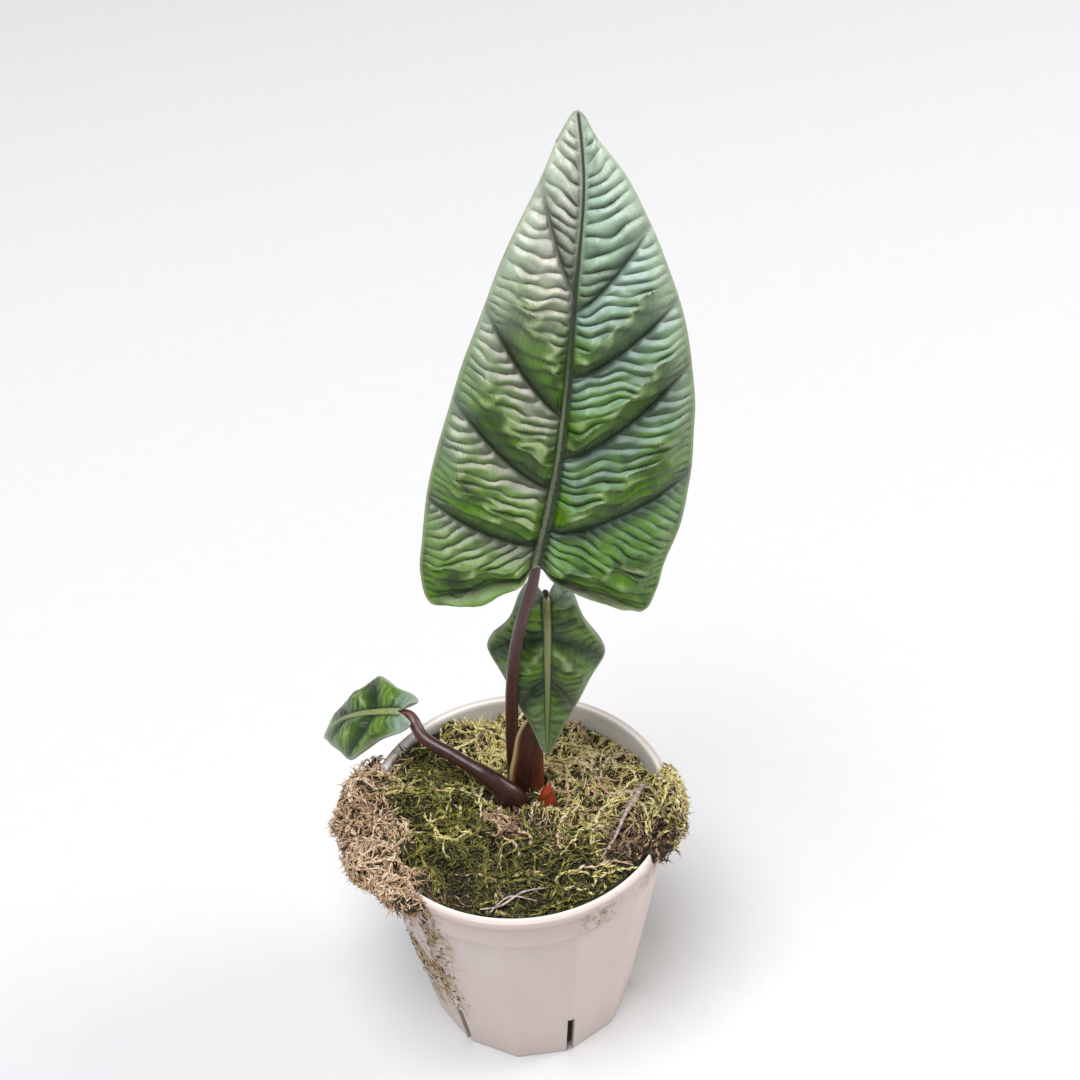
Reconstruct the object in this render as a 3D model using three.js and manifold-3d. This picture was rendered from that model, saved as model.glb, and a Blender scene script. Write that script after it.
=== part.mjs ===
// A young Alocasia scalprum in a white plastic nursery pot filled with sphagnum moss.
// Millimetres, +Z up. The origin is the centre of the pot's flat base, and the front faces -Y.

import * as THREE from 'three';
import Module from 'manifold-3d';
import { mergeVertices } from 'three/addons/utils/BufferGeometryUtils.js';

// Driving dimensions of the pot
const potHeight = 86;
const lipRadius = 47.5;
const lipHeight = 2.6;
const bandRadius = 46.3;
const bandBottom = 73;
const cornerRadiusTop = 45.1;
const cornerRadiusBottom = 33;
const wallThickness = 1.5;
const floorThickness = 1.8;
const facetCount = 12;
const firstCorner = THREE.MathUtils.degToRad(-42.5);
const slotCount = 6;
const slotWidth = 2.4;
const slotHeight = 12;
const slotInnerRadius = 24;

// Driving dimensions of the moss and of what stands in it
const clearance = 0.35;
const mossLevel = 84.5;
const leftCrescent = { from: 38, to: 117, radius: 48.6, height: 87, wide: 7.4, tall: 5.4 };
const rightCrescent = { from: -100, to: -52, radius: 47.2, height: 86.6, wide: 4, tall: 3.2 };
const cormCentre = new THREE.Vector3(3, 5.5, 0);
const cormRadius = 10.8;
const cormTop = 76;
const cormBottom = 55;
const rootCount = 5;
const rootRadius = 1.3;

// Driving dimensions of the leaves
const bladeThickness = 0.85;
const rowSpacing = 3.5;
const lobeRowSpacing = 4;

const wasm = await Module();
wasm.setup();

const up = new THREE.Vector3(0, 0, 1);
const front = new THREE.Vector3(0, -1, 0);

// Angles round the pot are measured from the front, positive towards +X.
function around(angle, radius, height) {
  return new THREE.Vector3(radius * Math.sin(angle), -radius * Math.cos(angle), height);
}

function interpolate(stops, value) {
  if (value <= stops[0][0]) return stops[0][1];
  for (let i = 1; i < stops.length; i += 1) {
    const [x0, y0] = stops[i - 1];
    const [x1, y1] = stops[i];
    if (value <= x1) return THREE.MathUtils.mapLinear(value, x0, x1, y0, y1);
  }
  return stops[stops.length - 1][1];
}

// Turning meshes into solids for cutting and joining, and back

function withoutSlivers(geometry) {
  const bare = geometry.clone();
  for (const name of Object.keys(bare.attributes)) {
    if (name !== 'position') bare.deleteAttribute(name);
  }
  const merged = mergeVertices(bare, 1e-3);
  const kept = [];
  const index = merged.index.array;
  for (let i = 0; i < index.length; i += 3) {
    const [a, b, c] = [index[i], index[i + 1], index[i + 2]];
    if (a !== b && b !== c && c !== a) kept.push(a, b, c);
  }
  merged.setIndex(kept);
  return merged;
}

function toSolid(geometry) {
  const clean = withoutSlivers(geometry);
  return new wasm.Manifold(new wasm.Mesh({
    numProp: 3,
    vertProperties: new Float32Array(clean.attributes.position.array),
    triVerts: new Uint32Array(clean.index.array),
  }));
}

function toGeometry(solid) {
  const mesh = solid.getMesh();
  const geometry = new THREE.BufferGeometry();
  geometry.setAttribute('position', new THREE.BufferAttribute(new Float32Array(mesh.vertProperties), 3));
  geometry.setIndex(new THREE.BufferAttribute(new Uint32Array(mesh.triVerts), 1));
  return geometry;
}

// Cutting can leave a loose crumb beside the piece itself, which is dropped.
function largestBody(solid) {
  const bodies = solid.decompose();
  return bodies.reduce((best, body) => (body.volume() > best.volume() ? body : best));
}

// A lathed profile of [radius, height] pairs about +Z. The shape function may then move each
// point, which it gets as an angle round the pot, a radius and a height.
function turned(profile, segments, shape) {
  const points = profile.map(([radius, height]) => new THREE.Vector2(radius, height));
  const geometry = new THREE.LatheGeometry(points, segments);
  geometry.rotateX(Math.PI / 2);
  const position = geometry.attributes.position;
  const point = new THREE.Vector3();
  for (let i = 0; i < position.count; i += 1) {
    point.fromBufferAttribute(position, i);
    const radius = Math.hypot(point.x, point.y);
    const angle = Math.atan2(point.x, -point.y) + firstCorner;
    point.copy(shape(angle, radius, point.z));
    position.setXYZ(i, point.x, point.y, point.z);
  }
  return geometry;
}

// A bent, tapering rod: a cylinder laid along a smooth curve, with an oval section whose
// two half-widths, sideways and front to back, the girth function gives at each stage.
function rod(path, girth, steps, sides, facing = front) {
  const curve = new THREE.CatmullRomCurve3(path, false, 'centripetal');
  const geometry = new THREE.CylinderGeometry(1, 1, 1, sides, steps);
  const position = geometry.attributes.position;
  for (let i = 0; i < position.count; i += 1) {
    const stage = THREE.MathUtils.clamp(position.getY(i) + 0.5, 0, 1);
    const tangent = curve.getTangentAt(stage);
    const side = new THREE.Vector3().crossVectors(facing, tangent).normalize();
    const outward = new THREE.Vector3().crossVectors(tangent, side);
    const [wide, deep] = girth(stage);
    const point = curve.getPointAt(stage)
      .addScaledVector(side, position.getX(i) * wide)
      .addScaledVector(outward, -position.getZ(i) * deep);
    position.setXYZ(i, point.x, point.y, point.z);
  }
  return geometry;
}

function round(stops) {
  return (stage) => [interpolate(stops, stage), interpolate(stops, stage)];
}

function thicker(girth, extra) {
  return (stage) => girth(stage).map((half) => half + extra);
}

// The pot: a thin lip, a smooth round band, then flat facets down to the base

function facetRadius(angle, cornerRadius) {
  const step = (2 * Math.PI) / facetCount;
  const past = THREE.MathUtils.euclideanModulo(angle - firstCorner, step) - step / 2;
  return (cornerRadius * Math.cos(step / 2)) / Math.cos(past);
}

function facetedBelowBand(angle, radius, height) {
  const shaped = height < bandBottom - 0.5 ? facetRadius(angle, radius) : radius;
  return around(angle, shaped, height);
}

function potWall(inset, bottom, top) {
  return [
    [0, bottom],
    [cornerRadiusBottom - inset, bottom],
    [cornerRadiusTop - inset, bandBottom - 1],
    [cornerRadiusTop - inset + 0.2, bandBottom],
    [bandRadius - inset, potHeight - lipHeight],
    ...top,
  ];
}

function makePot() {
  const outer = turned(potWall(0, 0, [
    [lipRadius, potHeight - lipHeight],
    [lipRadius, potHeight - 0.4],
    [lipRadius - 0.4, potHeight],
    [0, potHeight],
  ]), facetCount * 4, facetedBelowBand);
  const inner = turned(potWall(wallThickness, floorThickness, [
    [bandRadius - wallThickness + 0.3, potHeight + 1],
    [0, potHeight + 1],
  ]), facetCount * 4, facetedBelowBand);
  let pot = toSolid(outer).subtract(toSolid(inner));
  for (let i = 0; i < slotCount; i += 1) {
    const angle = firstCorner + (i * 2 * Math.PI) / slotCount;
    const slot = new THREE.BoxGeometry(slotWidth, cornerRadiusTop - slotInnerRadius, slotHeight + 1);
    slot.translate(0, -(cornerRadiusTop + slotInnerRadius) / 2, (slotHeight - 1) / 2);
    slot.rotateZ(angle);
    pot = pot.subtract(toSolid(slot));
  }
  return pot;
}

// Leaf blades. A blade is described flat: x across, y along the midrib from the joint to the
// tip. Each margin is a list of [x, y, m, rib], where m is the place on the midrib that the
// margin point's row of cells starts from, and rib is 1 where a main side vein ends.

class Blade {
  constructor(spec) {
    Object.assign(this, spec);
    this.out = spec.pointing.clone().normalize();
    this.across = new THREE.Vector3().crossVectors(this.out, spec.facing).normalize();
    this.face = new THREE.Vector3().crossVectors(this.across, this.out);
    this.sides = { left: this.readMargin(spec.left), right: this.readMargin(spec.right) };
    this.rib = new THREE.SplineCurve(spec.midrib.map(([x, y]) => new THREE.Vector2(x, y)));
    this.length = spec.midrib[spec.midrib.length - 1][1];
  }

  readMargin(points) {
    const curve = new THREE.SplineCurve(points.map(([x, y]) => new THREE.Vector2(x, y)));
    const starts = points.map(([, , m], i) => [-m, i]);
    const lobe = points.findIndex(([, , m]) => m === 0);
    const ribs = points.flatMap(([, , , rib], i) => (rib ? [i] : []));
    const last = points.length - 1;
    const phases = [0, ...ribs, last].map((i, count) => [i, count]);
    return { curve, starts: starts.slice(0, lobe + 1), lobe, last, phases, points };
  }

  midribAt(m) {
    const points = this.rib.getPoints(60);
    for (let i = 1; i < points.length; i += 1) {
      if (points[i].y >= m) {
        const share = (m - points[i - 1].y) / (points[i].y - points[i - 1].y);
        return points[i - 1].clone().lerp(points[i], share);
      }
    }
    return points[60];
  }

  // The bent rest surface: height above it is measured along its own normal.
  place(x, y, height) {
    const steps = 40;
    let along = 0;
    let forward = 0;
    for (let i = 0; i < steps; i += 1) {
      const angle = THREE.MathUtils.degToRad(interpolate(this.bend, (y * (i + 0.5)) / steps));
      along += (Math.cos(angle) * y) / steps;
      forward += (Math.sin(angle) * y) / steps;
    }
    const tilt = THREE.MathUtils.degToRad(interpolate(this.bend, y));
    const fold = Math.tan(THREE.MathUtils.degToRad(x < 0 ? this.fold[0] : this.fold[1]));
    const rise = height - this.arch * x * x - Math.abs(x) * fold;
    return this.joint.clone()
      .addScaledVector(this.across, x)
      .addScaledVector(this.out, along - rise * Math.sin(tilt))
      .addScaledVector(this.face, forward + rise * Math.cos(tilt));
  }

  // Quilted relief: sunken midrib with a fine rib in it, sunken side veins, raised panels
  // between them crossed by small chevron ridges, and a margin that waves a little.
  relief(side, p, share, x, reach, toTip) {
    const phase = interpolate(side.phases, p);
    const between = phase - Math.floor(phase);
    const panel = (4 * between * (1 - between)) ** 0.7;
    const inner = THREE.MathUtils.smoothstep(share, 0, 0.16);
    const outer = 1 - THREE.MathUtils.smoothstep(share, 0.78, 1);
    const chevron = Math.cos(2 * Math.PI * ((share * reach) / this.ridgeSpacing + 1.4 * Math.abs(between - 0.5)));
    const pillow = panel * inner * outer * (this.quilt + this.ridge * chevron);
    const groove = -this.quilt * 0.6 * Math.exp(-((x / 3) ** 2)) + this.quilt * 0.5 * Math.exp(-(x ** 2));
    const wave = this.wave * share ** 3 * Math.sin(2 * Math.PI * phase);
    const fading = THREE.MathUtils.smoothstep(reach, 2, 16);
    return (pillow + wave) * fading + groove * THREE.MathUtils.smoothstep(toTip, 1, 16);
  }

  row(side, p, m) {
    const start = this.midribAt(m);
    const end = side.curve.getPoint(p / side.last);
    const reach = start.distanceTo(end);
    const sag = 0.32 * THREE.MathUtils.clamp(end.y - start.y, 0, 0.3 * reach);
    const cells = [];
    for (let i = 0; i <= this.cells; i += 1) {
      const share = i / this.cells;
      const flat = start.clone().lerp(end, share);
      flat.y -= sag * 4 * share * (1 - share);
      const height = this.relief(side, p, share, flat.x - start.x, reach, this.length - m);
      cells.push([flat.x, flat.y, height]);
    }
    return cells;
  }

  stations() {
    const ends = new Set([0, this.length]);
    for (const side of [this.left, this.right]) {
      side.filter(([, , m, rib]) => rib && m > 0).forEach(([, , m]) => ends.add(m));
    }
    const sorted = [...ends].sort((a, b) => b - a);
    const list = [sorted[0]];
    for (let i = 1; i < sorted.length; i += 1) {
      const gap = sorted[i - 1] - sorted[i];
      const count = Math.max(1, Math.round(gap / this.rowSpacing));
      for (let j = 1; j <= count; j += 1) list.push(sorted[i - 1] - (gap * j) / count);
    }
    return list;
  }

  halfRows(side) {
    const rows = this.stations().map((m) => this.row(side, interpolate(side.starts, -m), m));
    const lobe = side.points.slice(side.lobe);
    const girth = lobe.slice(1).reduce((sum, point, i) => (
      sum + Math.hypot(point[0] - lobe[i][0], point[1] - lobe[i][1])), 0);
    const count = Math.round(girth / this.lobeRowSpacing);
    for (let i = 1; i <= count; i += 1) {
      rows.push(this.row(side, side.lobe + ((side.last - side.lobe) * i) / count, 0));
    }
    return rows;
  }

  // Both faces are split into triangles alike, so that they stay one thickness apart.
  geometry() {
    const corners = [];
    const add = (a, b, c) => corners.push(a, b, c);
    const halves = [this.halfRows(this.sides.left), this.halfRows(this.sides.right)];
    halves.forEach((rows, half) => {
      const turn = (a, b, c) => (half ? add(a, b, c) : add(a, c, b));
      const top = rows.map((cells) => cells.map(([x, y, h]) => this.place(x, y, h)));
      const bottom = rows.map((cells) => cells.map(([x, y, h]) => this.place(x, y, h - bladeThickness)));
      for (let i = 1; i < rows.length; i += 1) {
        for (let j = 1; j <= this.cells; j += 1) {
          turn(top[i - 1][j - 1], top[i][j - 1], top[i][j]);
          turn(top[i - 1][j - 1], top[i][j], top[i - 1][j]);
          turn(bottom[i - 1][j - 1], bottom[i][j], bottom[i][j - 1]);
          turn(bottom[i - 1][j - 1], bottom[i - 1][j], bottom[i][j]);
        }
        const edge = this.cells;
        turn(top[i - 1][edge], top[i][edge], bottom[i][edge]);
        turn(top[i - 1][edge], bottom[i][edge], bottom[i - 1][edge]);
      }
    });
    const geometry = new THREE.BufferGeometry().setFromPoints(corners);
    return withoutSlivers(geometry);
  }

  // Where a petiole's end meets the back of the blade beside the joint
  seat(y, petioleRadius) {
    const fold = Math.tan(THREE.MathUtils.degToRad(Math.max(...this.fold)));
    const rib = 0.1 * this.quilt + petioleRadius * fold;
    return this.place(0, y, -bladeThickness - petioleRadius - rib - clearance);
  }
}

const mainBlade = new Blade({
  joint: new THREE.Vector3(10.1, -5, 182.3),
  pointing: new THREE.Vector3(Math.sin(THREE.MathUtils.degToRad(9)), 0, Math.cos(THREE.MathUtils.degToRad(9))),
  facing: front,
  bend: [[-20, -4], [0, -4], [130, -24]],
  arch: 0.0037,
  fold: [0, 0],
  quilt: 2.4,
  ridge: 0.6,
  ridgeSpacing: 7.4,
  wave: 0.8,
  cells: 14,
  rowSpacing,
  lobeRowSpacing,
  midrib: [[0, 0], [2.7, 34], [2.5, 75], [2.3, 104], [-2, 122]],
  left: [
    [-2, 122, 122, 0], [-5.2, 115.5, 99, 1], [-8.6, 106, 77, 1], [-15.3, 89.3, 60, 0],
    [-20, 73.5, 44.7, 1], [-23.5, 61, 34, 0], [-26.3, 48.5, 23.8, 1], [-29.3, 32.9, 15, 0],
    [-31, 18.5, 7.4, 1], [-31.3, 4, 2.5, 0], [-31.2, -5, 0, 0], [-28.6, -14.6, 0, 1],
    [-23.5, -15.2, 0, 0], [-14.5, -11, 0, 0], [-6, -5.2, 0, 0], [0, 0, 0, 0],
  ],
  right: [
    [-2, 122, 122, 0], [4.5, 116.5, 97, 1], [12.5, 108, 84, 0], [20, 96.3, 72.6, 1],
    [25, 87, 64, 0], [29.4, 77.8, 55.4, 1], [32.9, 68.4, 43, 0], [35, 60.5, 32.5, 1],
    [37.8, 46, 20, 0], [39.2, 29, 10.8, 1], [38.4, 14, 4, 0], [35.8, 0, 1, 0],
    [35, -9, 0, 0], [32.4, -15.8, 0, 1], [26, -13.4, 0, 0], [15, -7.4, 0, 0], [6, -3.6, 0, 0], [0, 0, 0, 0],
  ],
});

// The two young blades share one outline, at a scale of their own.
function youngOutline(scale, wider) {
  const outline = [
    [0, 58, 58, 0], [3.4, 51, 44, 0], [8.2, 40.5, 27, 1], [12.2, 31.5, 19, 0], [16.4, 23.4, 11, 1],
    [16.9, 18.6, 6, 0], [14, 11.8, 1.5, 0], [10.4, 5, 0, 0], [7.6, -3.5, 0, 1], [4.6, -7.2, 0, 0],
    [1.8, -4, 0, 0], [0, 0, 0, 0],
  ];
  return outline.map(([x, y, m, rib]) => [x * scale * wider, y * scale, m * scale, rib]);
}

function youngBlade(scale, place) {
  return new Blade({
    arch: 0.004,
    quilt: 1.4,
    ridge: 0.35,
    ridgeSpacing: 6,
    wave: 0.5,
    cells: 8,
    rowSpacing,
    lobeRowSpacing,
    midrib: [[0, 0], [0, 20 * scale], [0, 40 * scale], [0, 58 * scale]],
    left: youngOutline(scale, -1),
    right: youngOutline(scale, 1),
    ...place,
  });
}

const smallBlade = youngBlade(1, {
  joint: new THREE.Vector3(12.6, 8, 159.5),
  pointing: new THREE.Vector3(-0.05, 0, -1),
  facing: front,
  bend: [[-10, 78], [0, 48], [14, 4], [58, -4]],
  fold: [12, 26],
});

const thirdBlade = youngBlade(0.86, {
  joint: new THREE.Vector3(-35.5, 22.8, 107),
  pointing: new THREE.Vector3(-0.8, 0.46, -0.36),
  facing: new THREE.Vector3(-0.2, -0.32, 0.92),
  bend: [[-8, 14], [0, 4], [50, -48]],
  fold: [10, 10],
});

// Petioles. Each one is a path and its girth, so that the moss can be cut round it.

function stalk(path, girth, steps, sides) {
  const points = path.map((point) => (point.isVector3 ? point : new THREE.Vector3(...point)));
  return {
    body: () => toSolid(rod(points, girth, steps, sides)),
    hole: () => toSolid(rod(points, thicker(girth, clearance), steps, sides)),
  };
}

const stemBase = cormTop + clearance;

const mainPetiole = stalk([
  [-0.8, 10.8, stemBase], [-0.9, 10.2, 84], [-0.6, 7.6, 98], [0.2, 3.6, 122], [2, 0.2, 145],
  [5.2, -1.9, 162], mainBlade.seat(-6, 1.7), mainBlade.seat(2.5, 1.4),
], round([[0, 2.1], [0.2, 2], [0.9, 1.7], [0.97, 1.4], [1, 1]]), 22, 8);

const smallPetiole = stalk([
  [5.6, 8.8, stemBase], [5, 8.6, 84], [5.3, 8.4, 95], [7.4, 9.8, 112], [10.6, 13, 132],
  [12.6, 14.6, 148], smallBlade.seat(-3, 1), smallBlade.seat(2.5, 0.9),
], (stage) => [
  interpolate([[0, 3.2], [0.1, 3.7], [0.24, 3.3], [0.42, 1.6], [0.9, 1.1], [1, 0.7]], stage),
  interpolate([[0, 2.7], [0.1, 2.7], [0.24, 2.4], [0.42, 1.4], [0.9, 1.1], [1, 0.7]], stage),
], 26, 10);

const thirdPetiole = stalk([
  [-0.6, 1.6, stemBase], [-0.9, 1.5, 81], [-3.9, 2.2, 88.5], [-9.7, 4.6, 94], [-19.9, 10.5, 98.5],
  [-28, 16.4, 101], thirdBlade.seat(-3, 1.6), thirdBlade.seat(3, 1.2),
], (stage) => [
  interpolate([[0, 4.2], [0.08, 5], [0.25, 3.7], [0.45, 2.5], [0.85, 2.1], [0.95, 1.5], [1, 1]], stage),
  interpolate([[0, 3.1], [0.08, 3.5], [0.25, 3.4], [0.45, 2.4], [0.85, 2.1], [0.95, 1.5], [1, 1]], stage),
], 24, 10);

const newShoot = stalk([
  [9.4, 0.6, stemBase], [9.2, 0.2, 81], [9, 0.4, 86], [9.3, 1.2, 91.5],
], round([[0, 1.9], [0.4, 2.4], [0.75, 1.7], [1, 0.35]]), 8, 8);

// The corm that the petioles grow from, with a few thick roots fused to it

function makeCorm(extra) {
  const bulge = cormRadius + extra;
  const middle = (cormTop + cormBottom) / 2;
  const profile = [
    [0, cormBottom - extra], [bulge * 0.5, cormBottom - extra], [bulge * 0.86, middle - 5],
    [bulge, middle + 2], [bulge * 0.97, cormTop - 3], [bulge * 0.9, cormTop + extra], [0, cormTop + extra],
  ];
  let corm = toSolid(turned(profile, 12, (angle, radius, height) => (
    around(angle, radius, height).add(cormCentre))));
  for (let i = 0; i < rootCount; i += 1) {
    const angle = (i * 2 * Math.PI) / rootCount + 0.4;
    const reach = 18 + 5 * Math.sin(i * 2.3);
    const fall = 26 + 7 * Math.cos(i * 1.7);
    const points = [[0.5, 0], [0.85, 0.12], [1.5, 0.45], [1.9, 1]].map(([outward, down]) => (
      around(angle + 0.3 * down, (outward * reach) / 1.9, middle - down * fall).add(cormCentre)));
    const girth = round([[0, rootRadius + extra], [1, rootRadius * 0.55 + extra]]);
    corm = corm.add(toSolid(rod(points, girth, 6, 5, up)));
  }
  return corm;
}

// Moss: a clumpy mound that fills the pot, with two crescents that spill over the lip

function clumps(x, y) {
  return 1.5 * Math.sin(x * 0.29 + 1.3) * Math.cos(y * 0.31 - 0.4)
    + 0.9 * Math.sin(x * 0.61 - y * 0.43 + 2)
    + 0.6 * Math.cos(x * 0.97 + y * 1.13);
}

function mossHeight(angle, radius) {
  const degrees = THREE.MathUtils.radToDeg(Math.atan2(Math.sin(angle), Math.cos(angle)));
  const edge = interpolate([
    [-180, -3], [-130, 1], [-95, 5.5], [-55, 3], [-25, 0.5], [30, 0.5], [65, 1.5], [90, 0.5],
    [125, -6], [160, -5.5], [180, -3],
  ], degrees);
  const outward = THREE.MathUtils.smoothstep(radius, 14, 42);
  const { x, y } = around(angle, radius, 0);
  return mossLevel + edge * outward + clumps(x, y) * (1 - 0.4 * outward);
}

function crescent({ from, to, radius, height, wide, tall }) {
  const path = [];
  for (let i = 0; i <= 8; i += 1) {
    const angle = THREE.MathUtils.degToRad(-THREE.MathUtils.lerp(from, to, i / 8));
    path.push(around(angle, radius, height));
  }
  const girth = (stage) => {
    const swell = Math.sqrt(Math.max(0.02, Math.sin(Math.PI * stage)));
    const lumpy = 1 + 0.13 * Math.sin(stage * 23) + 0.09 * Math.sin(stage * 41 + 1);
    return [wide * swell * lumpy, tall * swell * lumpy];
  };
  return toSolid(rod(path, girth, 18, 8, up));
}

function makeMoss(holes) {
  const inset = wallThickness + clearance;
  const radii = [40.5, 35.5, 30, 24.5, 19, 13.5, 8, 3.5];
  const wall = bandRadius - inset - 0.3;
  const profile = [
    [0, floorThickness + clearance], [cornerRadiusBottom - inset, floorThickness + clearance],
    [cornerRadiusTop - inset, bandBottom - 1], [cornerRadiusTop - inset + 0.2, bandBottom],
    [wall, mossLevel], ...radii.map((radius) => [radius, mossLevel]), [0, mossLevel],
  ];
  const mound = turned(profile, facetCount * 4, (angle, radius, height) => {
    if (height < mossLevel - 1) return facetedBelowBand(angle, radius, height);
    return around(angle, radius, mossHeight(angle, radius));
  });
  const lipGuard = turned([
    [cornerRadiusTop - inset - 1.6, 50], [cornerRadiusTop + clearance, 50],
    [bandRadius + clearance, potHeight - lipHeight - clearance],
    [lipRadius + clearance, potHeight - lipHeight - clearance], [lipRadius + clearance, potHeight + clearance],
    [bandRadius - inset + 0.3, potHeight + clearance], [cornerRadiusTop - inset - 1.6, 50],
  ], facetCount * 4, around);
  let moss = toSolid(mound).add(crescent(leftCrescent)).add(crescent(rightCrescent)).subtract(toSolid(lipGuard));
  for (const hole of holes) moss = moss.subtract(hole);
  return largestBody(moss);
}

// Assembly

const plastic = new THREE.MeshStandardMaterial({ color: 0xe9e4e0, roughness: 0.42, metalness: 0 });
const sphagnum = new THREE.MeshStandardMaterial({ color: 0x7d7d3f, roughness: 0.95, metalness: 0 });
const leafGreen = new THREE.MeshStandardMaterial({ color: 0x2f6a1d, roughness: 0.35, metalness: 0 });
const maroon = new THREE.MeshStandardMaterial({ color: 0x4a1d1c, roughness: 0.4, metalness: 0 });
const budOrange = new THREE.MeshStandardMaterial({ color: 0x9a3f14, roughness: 0.45, metalness: 0 });
const cormBrown = new THREE.MeshStandardMaterial({ color: 0x6b4a2c, roughness: 0.85, metalness: 0 });

const plant = new THREE.Group();

function addPiece(name, geometry, material) {
  const mesh = new THREE.Mesh(geometry, material.clone());
  mesh.name = name;
  plant.add(mesh);
}

const stalks = [mainPetiole, smallPetiole, thirdPetiole, newShoot];
const moss = makeMoss([makeCorm(clearance), ...stalks.map((piece) => piece.hole())]);

addPiece('pot', toGeometry(makePot()), plastic);
addPiece('moss', toGeometry(moss), sphagnum);
addPiece('corm', toGeometry(makeCorm(0)), cormBrown);
addPiece('main_petiole', toGeometry(mainPetiole.body()), maroon);
addPiece('small_petiole', toGeometry(smallPetiole.body()), maroon);
addPiece('third_petiole', toGeometry(thirdPetiole.body()), maroon);
addPiece('new_shoot', toGeometry(newShoot.body()), budOrange);
addPiece('main_blade', mainBlade.geometry(), leafGreen);
addPiece('small_blade', smallBlade.geometry(), leafGreen);
addPiece('third_blade', thirdBlade.geometry(), leafGreen);

export default plant;
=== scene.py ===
# %% [markdown]
# # A potted Alocasia scalprum
# A young jewel alocasia stands in a white nursery pot full of sphagnum moss. One large quilted
# leaf faces the viewer, a small new leaf hangs in front of its stalk, and a third stalk leans over
# the rim. The CAD model gives every piece its place, its outline and its size. This lesson gives
# the pieces their finer skin: veins, ridges, moss fibres, dirt, and the finishes.
#
# The CAD model is loaded first.

# %% Load the CAD model as a fixed frame
import math

import bmesh
import bpy
import numpy as np
from mathutils import Matrix, Quaternion, Vector
from mathutils.bvhtree import BVHTree


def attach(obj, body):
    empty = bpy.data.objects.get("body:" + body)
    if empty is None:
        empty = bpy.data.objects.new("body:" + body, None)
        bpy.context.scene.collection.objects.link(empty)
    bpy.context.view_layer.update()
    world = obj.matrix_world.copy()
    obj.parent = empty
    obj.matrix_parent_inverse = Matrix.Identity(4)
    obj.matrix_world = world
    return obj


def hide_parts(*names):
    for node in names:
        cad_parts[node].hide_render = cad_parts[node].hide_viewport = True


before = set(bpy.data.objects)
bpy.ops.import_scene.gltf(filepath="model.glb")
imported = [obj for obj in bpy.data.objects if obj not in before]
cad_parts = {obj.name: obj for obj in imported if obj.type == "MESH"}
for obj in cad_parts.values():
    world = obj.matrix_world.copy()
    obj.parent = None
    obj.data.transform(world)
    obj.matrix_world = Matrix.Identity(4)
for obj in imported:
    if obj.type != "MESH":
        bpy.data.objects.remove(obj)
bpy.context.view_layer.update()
MM = 0.001
scene = bpy.context.scene

# %% [markdown]
# ## The camera
# The photograph looks down on the plant at about 38 degrees, rolled a little. A camera can be
# turned with Euler angles or a tracking constraint. Here its three axes are worked out from yaw,
# pitch and roll, because the pot's rim and the leaf's outline gave exactly those numbers.

# %% Camera
CAMERA_PLACE = Vector((0, -352.9, 468.0)) * MM
YAW = math.radians(1.88)
PITCH = math.radians(38.43)
ROLL = math.radians(-3.57)

ahead = Vector((math.sin(YAW) * math.cos(PITCH), math.cos(YAW) * math.cos(PITCH), -math.sin(PITCH)))
level_right = ahead.cross(Vector((0, 0, 1))).normalized()
level_up = level_right.cross(ahead)
right = level_right * math.cos(ROLL) + level_up * math.sin(ROLL)
above = level_up * math.cos(ROLL) - level_right * math.sin(ROLL)

camera = bpy.data.objects.new("camera", bpy.data.cameras.new("camera"))
camera.data.sensor_width = 36
camera.data.lens = 55.5
camera.data.clip_start = 0.01
camera.matrix_world = Matrix.Translation(CAMERA_PLACE) @ Matrix((right, above, -ahead)).transposed().to_4x4()
scene.collection.objects.link(camera)
scene.camera = camera
print("camera looks along", [round(v, 3) for v in ahead])

# %% [markdown]
# ## Shader maths as plain arithmetic
# A material is a graph of nodes. Wiring each Math node is slow to write and hard to read, so one
# small class wraps an output socket, and its operators add the nodes. `Field.node` makes any other
# node: its type, its settings, then its inputs.

# %% Fields: values that vary over a surface
class Field:
    """One output socket of the node tree that is being built."""

    tree = None

    def __init__(self, socket):
        self.socket = socket

    @classmethod
    def node(cls, kind, settings, inputs, output=0):
        made = cls.tree.nodes.new(kind)
        for name, value in settings.items():
            setattr(made, name, value)
        for key, value in inputs.items():
            if isinstance(value, Field):
                cls.tree.links.new(value.socket, made.inputs[key])
            else:
                made.inputs[key].default_value = value
        return cls(made.outputs[output])

    def math(self, operation, other=0.0, swapped=False):
        first, second = (other, self) if swapped else (self, other)
        return Field.node("ShaderNodeMath", {"operation": operation}, {0: first, 1: second})

    def __add__(self, other):
        return self.math("ADD", other)

    def __sub__(self, other):
        return self.math("SUBTRACT", other)

    def __rsub__(self, other):
        return self.math("SUBTRACT", other, swapped=True)

    def __mul__(self, other):
        return self.math("MULTIPLY", other)

    __radd__ = __add__
    __rmul__ = __mul__

    def within(self, low, high):
        """0 below low, 1 above high and smooth between them; the other way round if low > high."""
        settings = {"interpolation_type": "SMOOTHSTEP"}
        return Field.node("ShaderNodeMapRange", settings, {0: self, 1: low, 2: high})


print("fields can be added, subtracted and multiplied, with a number on either side")

# %% [markdown]
# Colours are written as the 0 to 255 numbers that a picture shows, and mixed by Mix nodes, because a
# Math node would turn them grey. Image textures could hold the patterns, but noise in millimetres
# fits any piece without unwrapping it.

# %% Colours, patterns and bumps
def tint(red, green, blue):
    """A colour from the 0 to 255 numbers of a picture, as the linear values that shaders use."""
    linear = [((v / 255 + 0.055) / 1.055) ** 2.4 if v > 10 else v / 255 / 12.92 for v in (red, green, blue)]
    return (*linear, 1.0)


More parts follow.
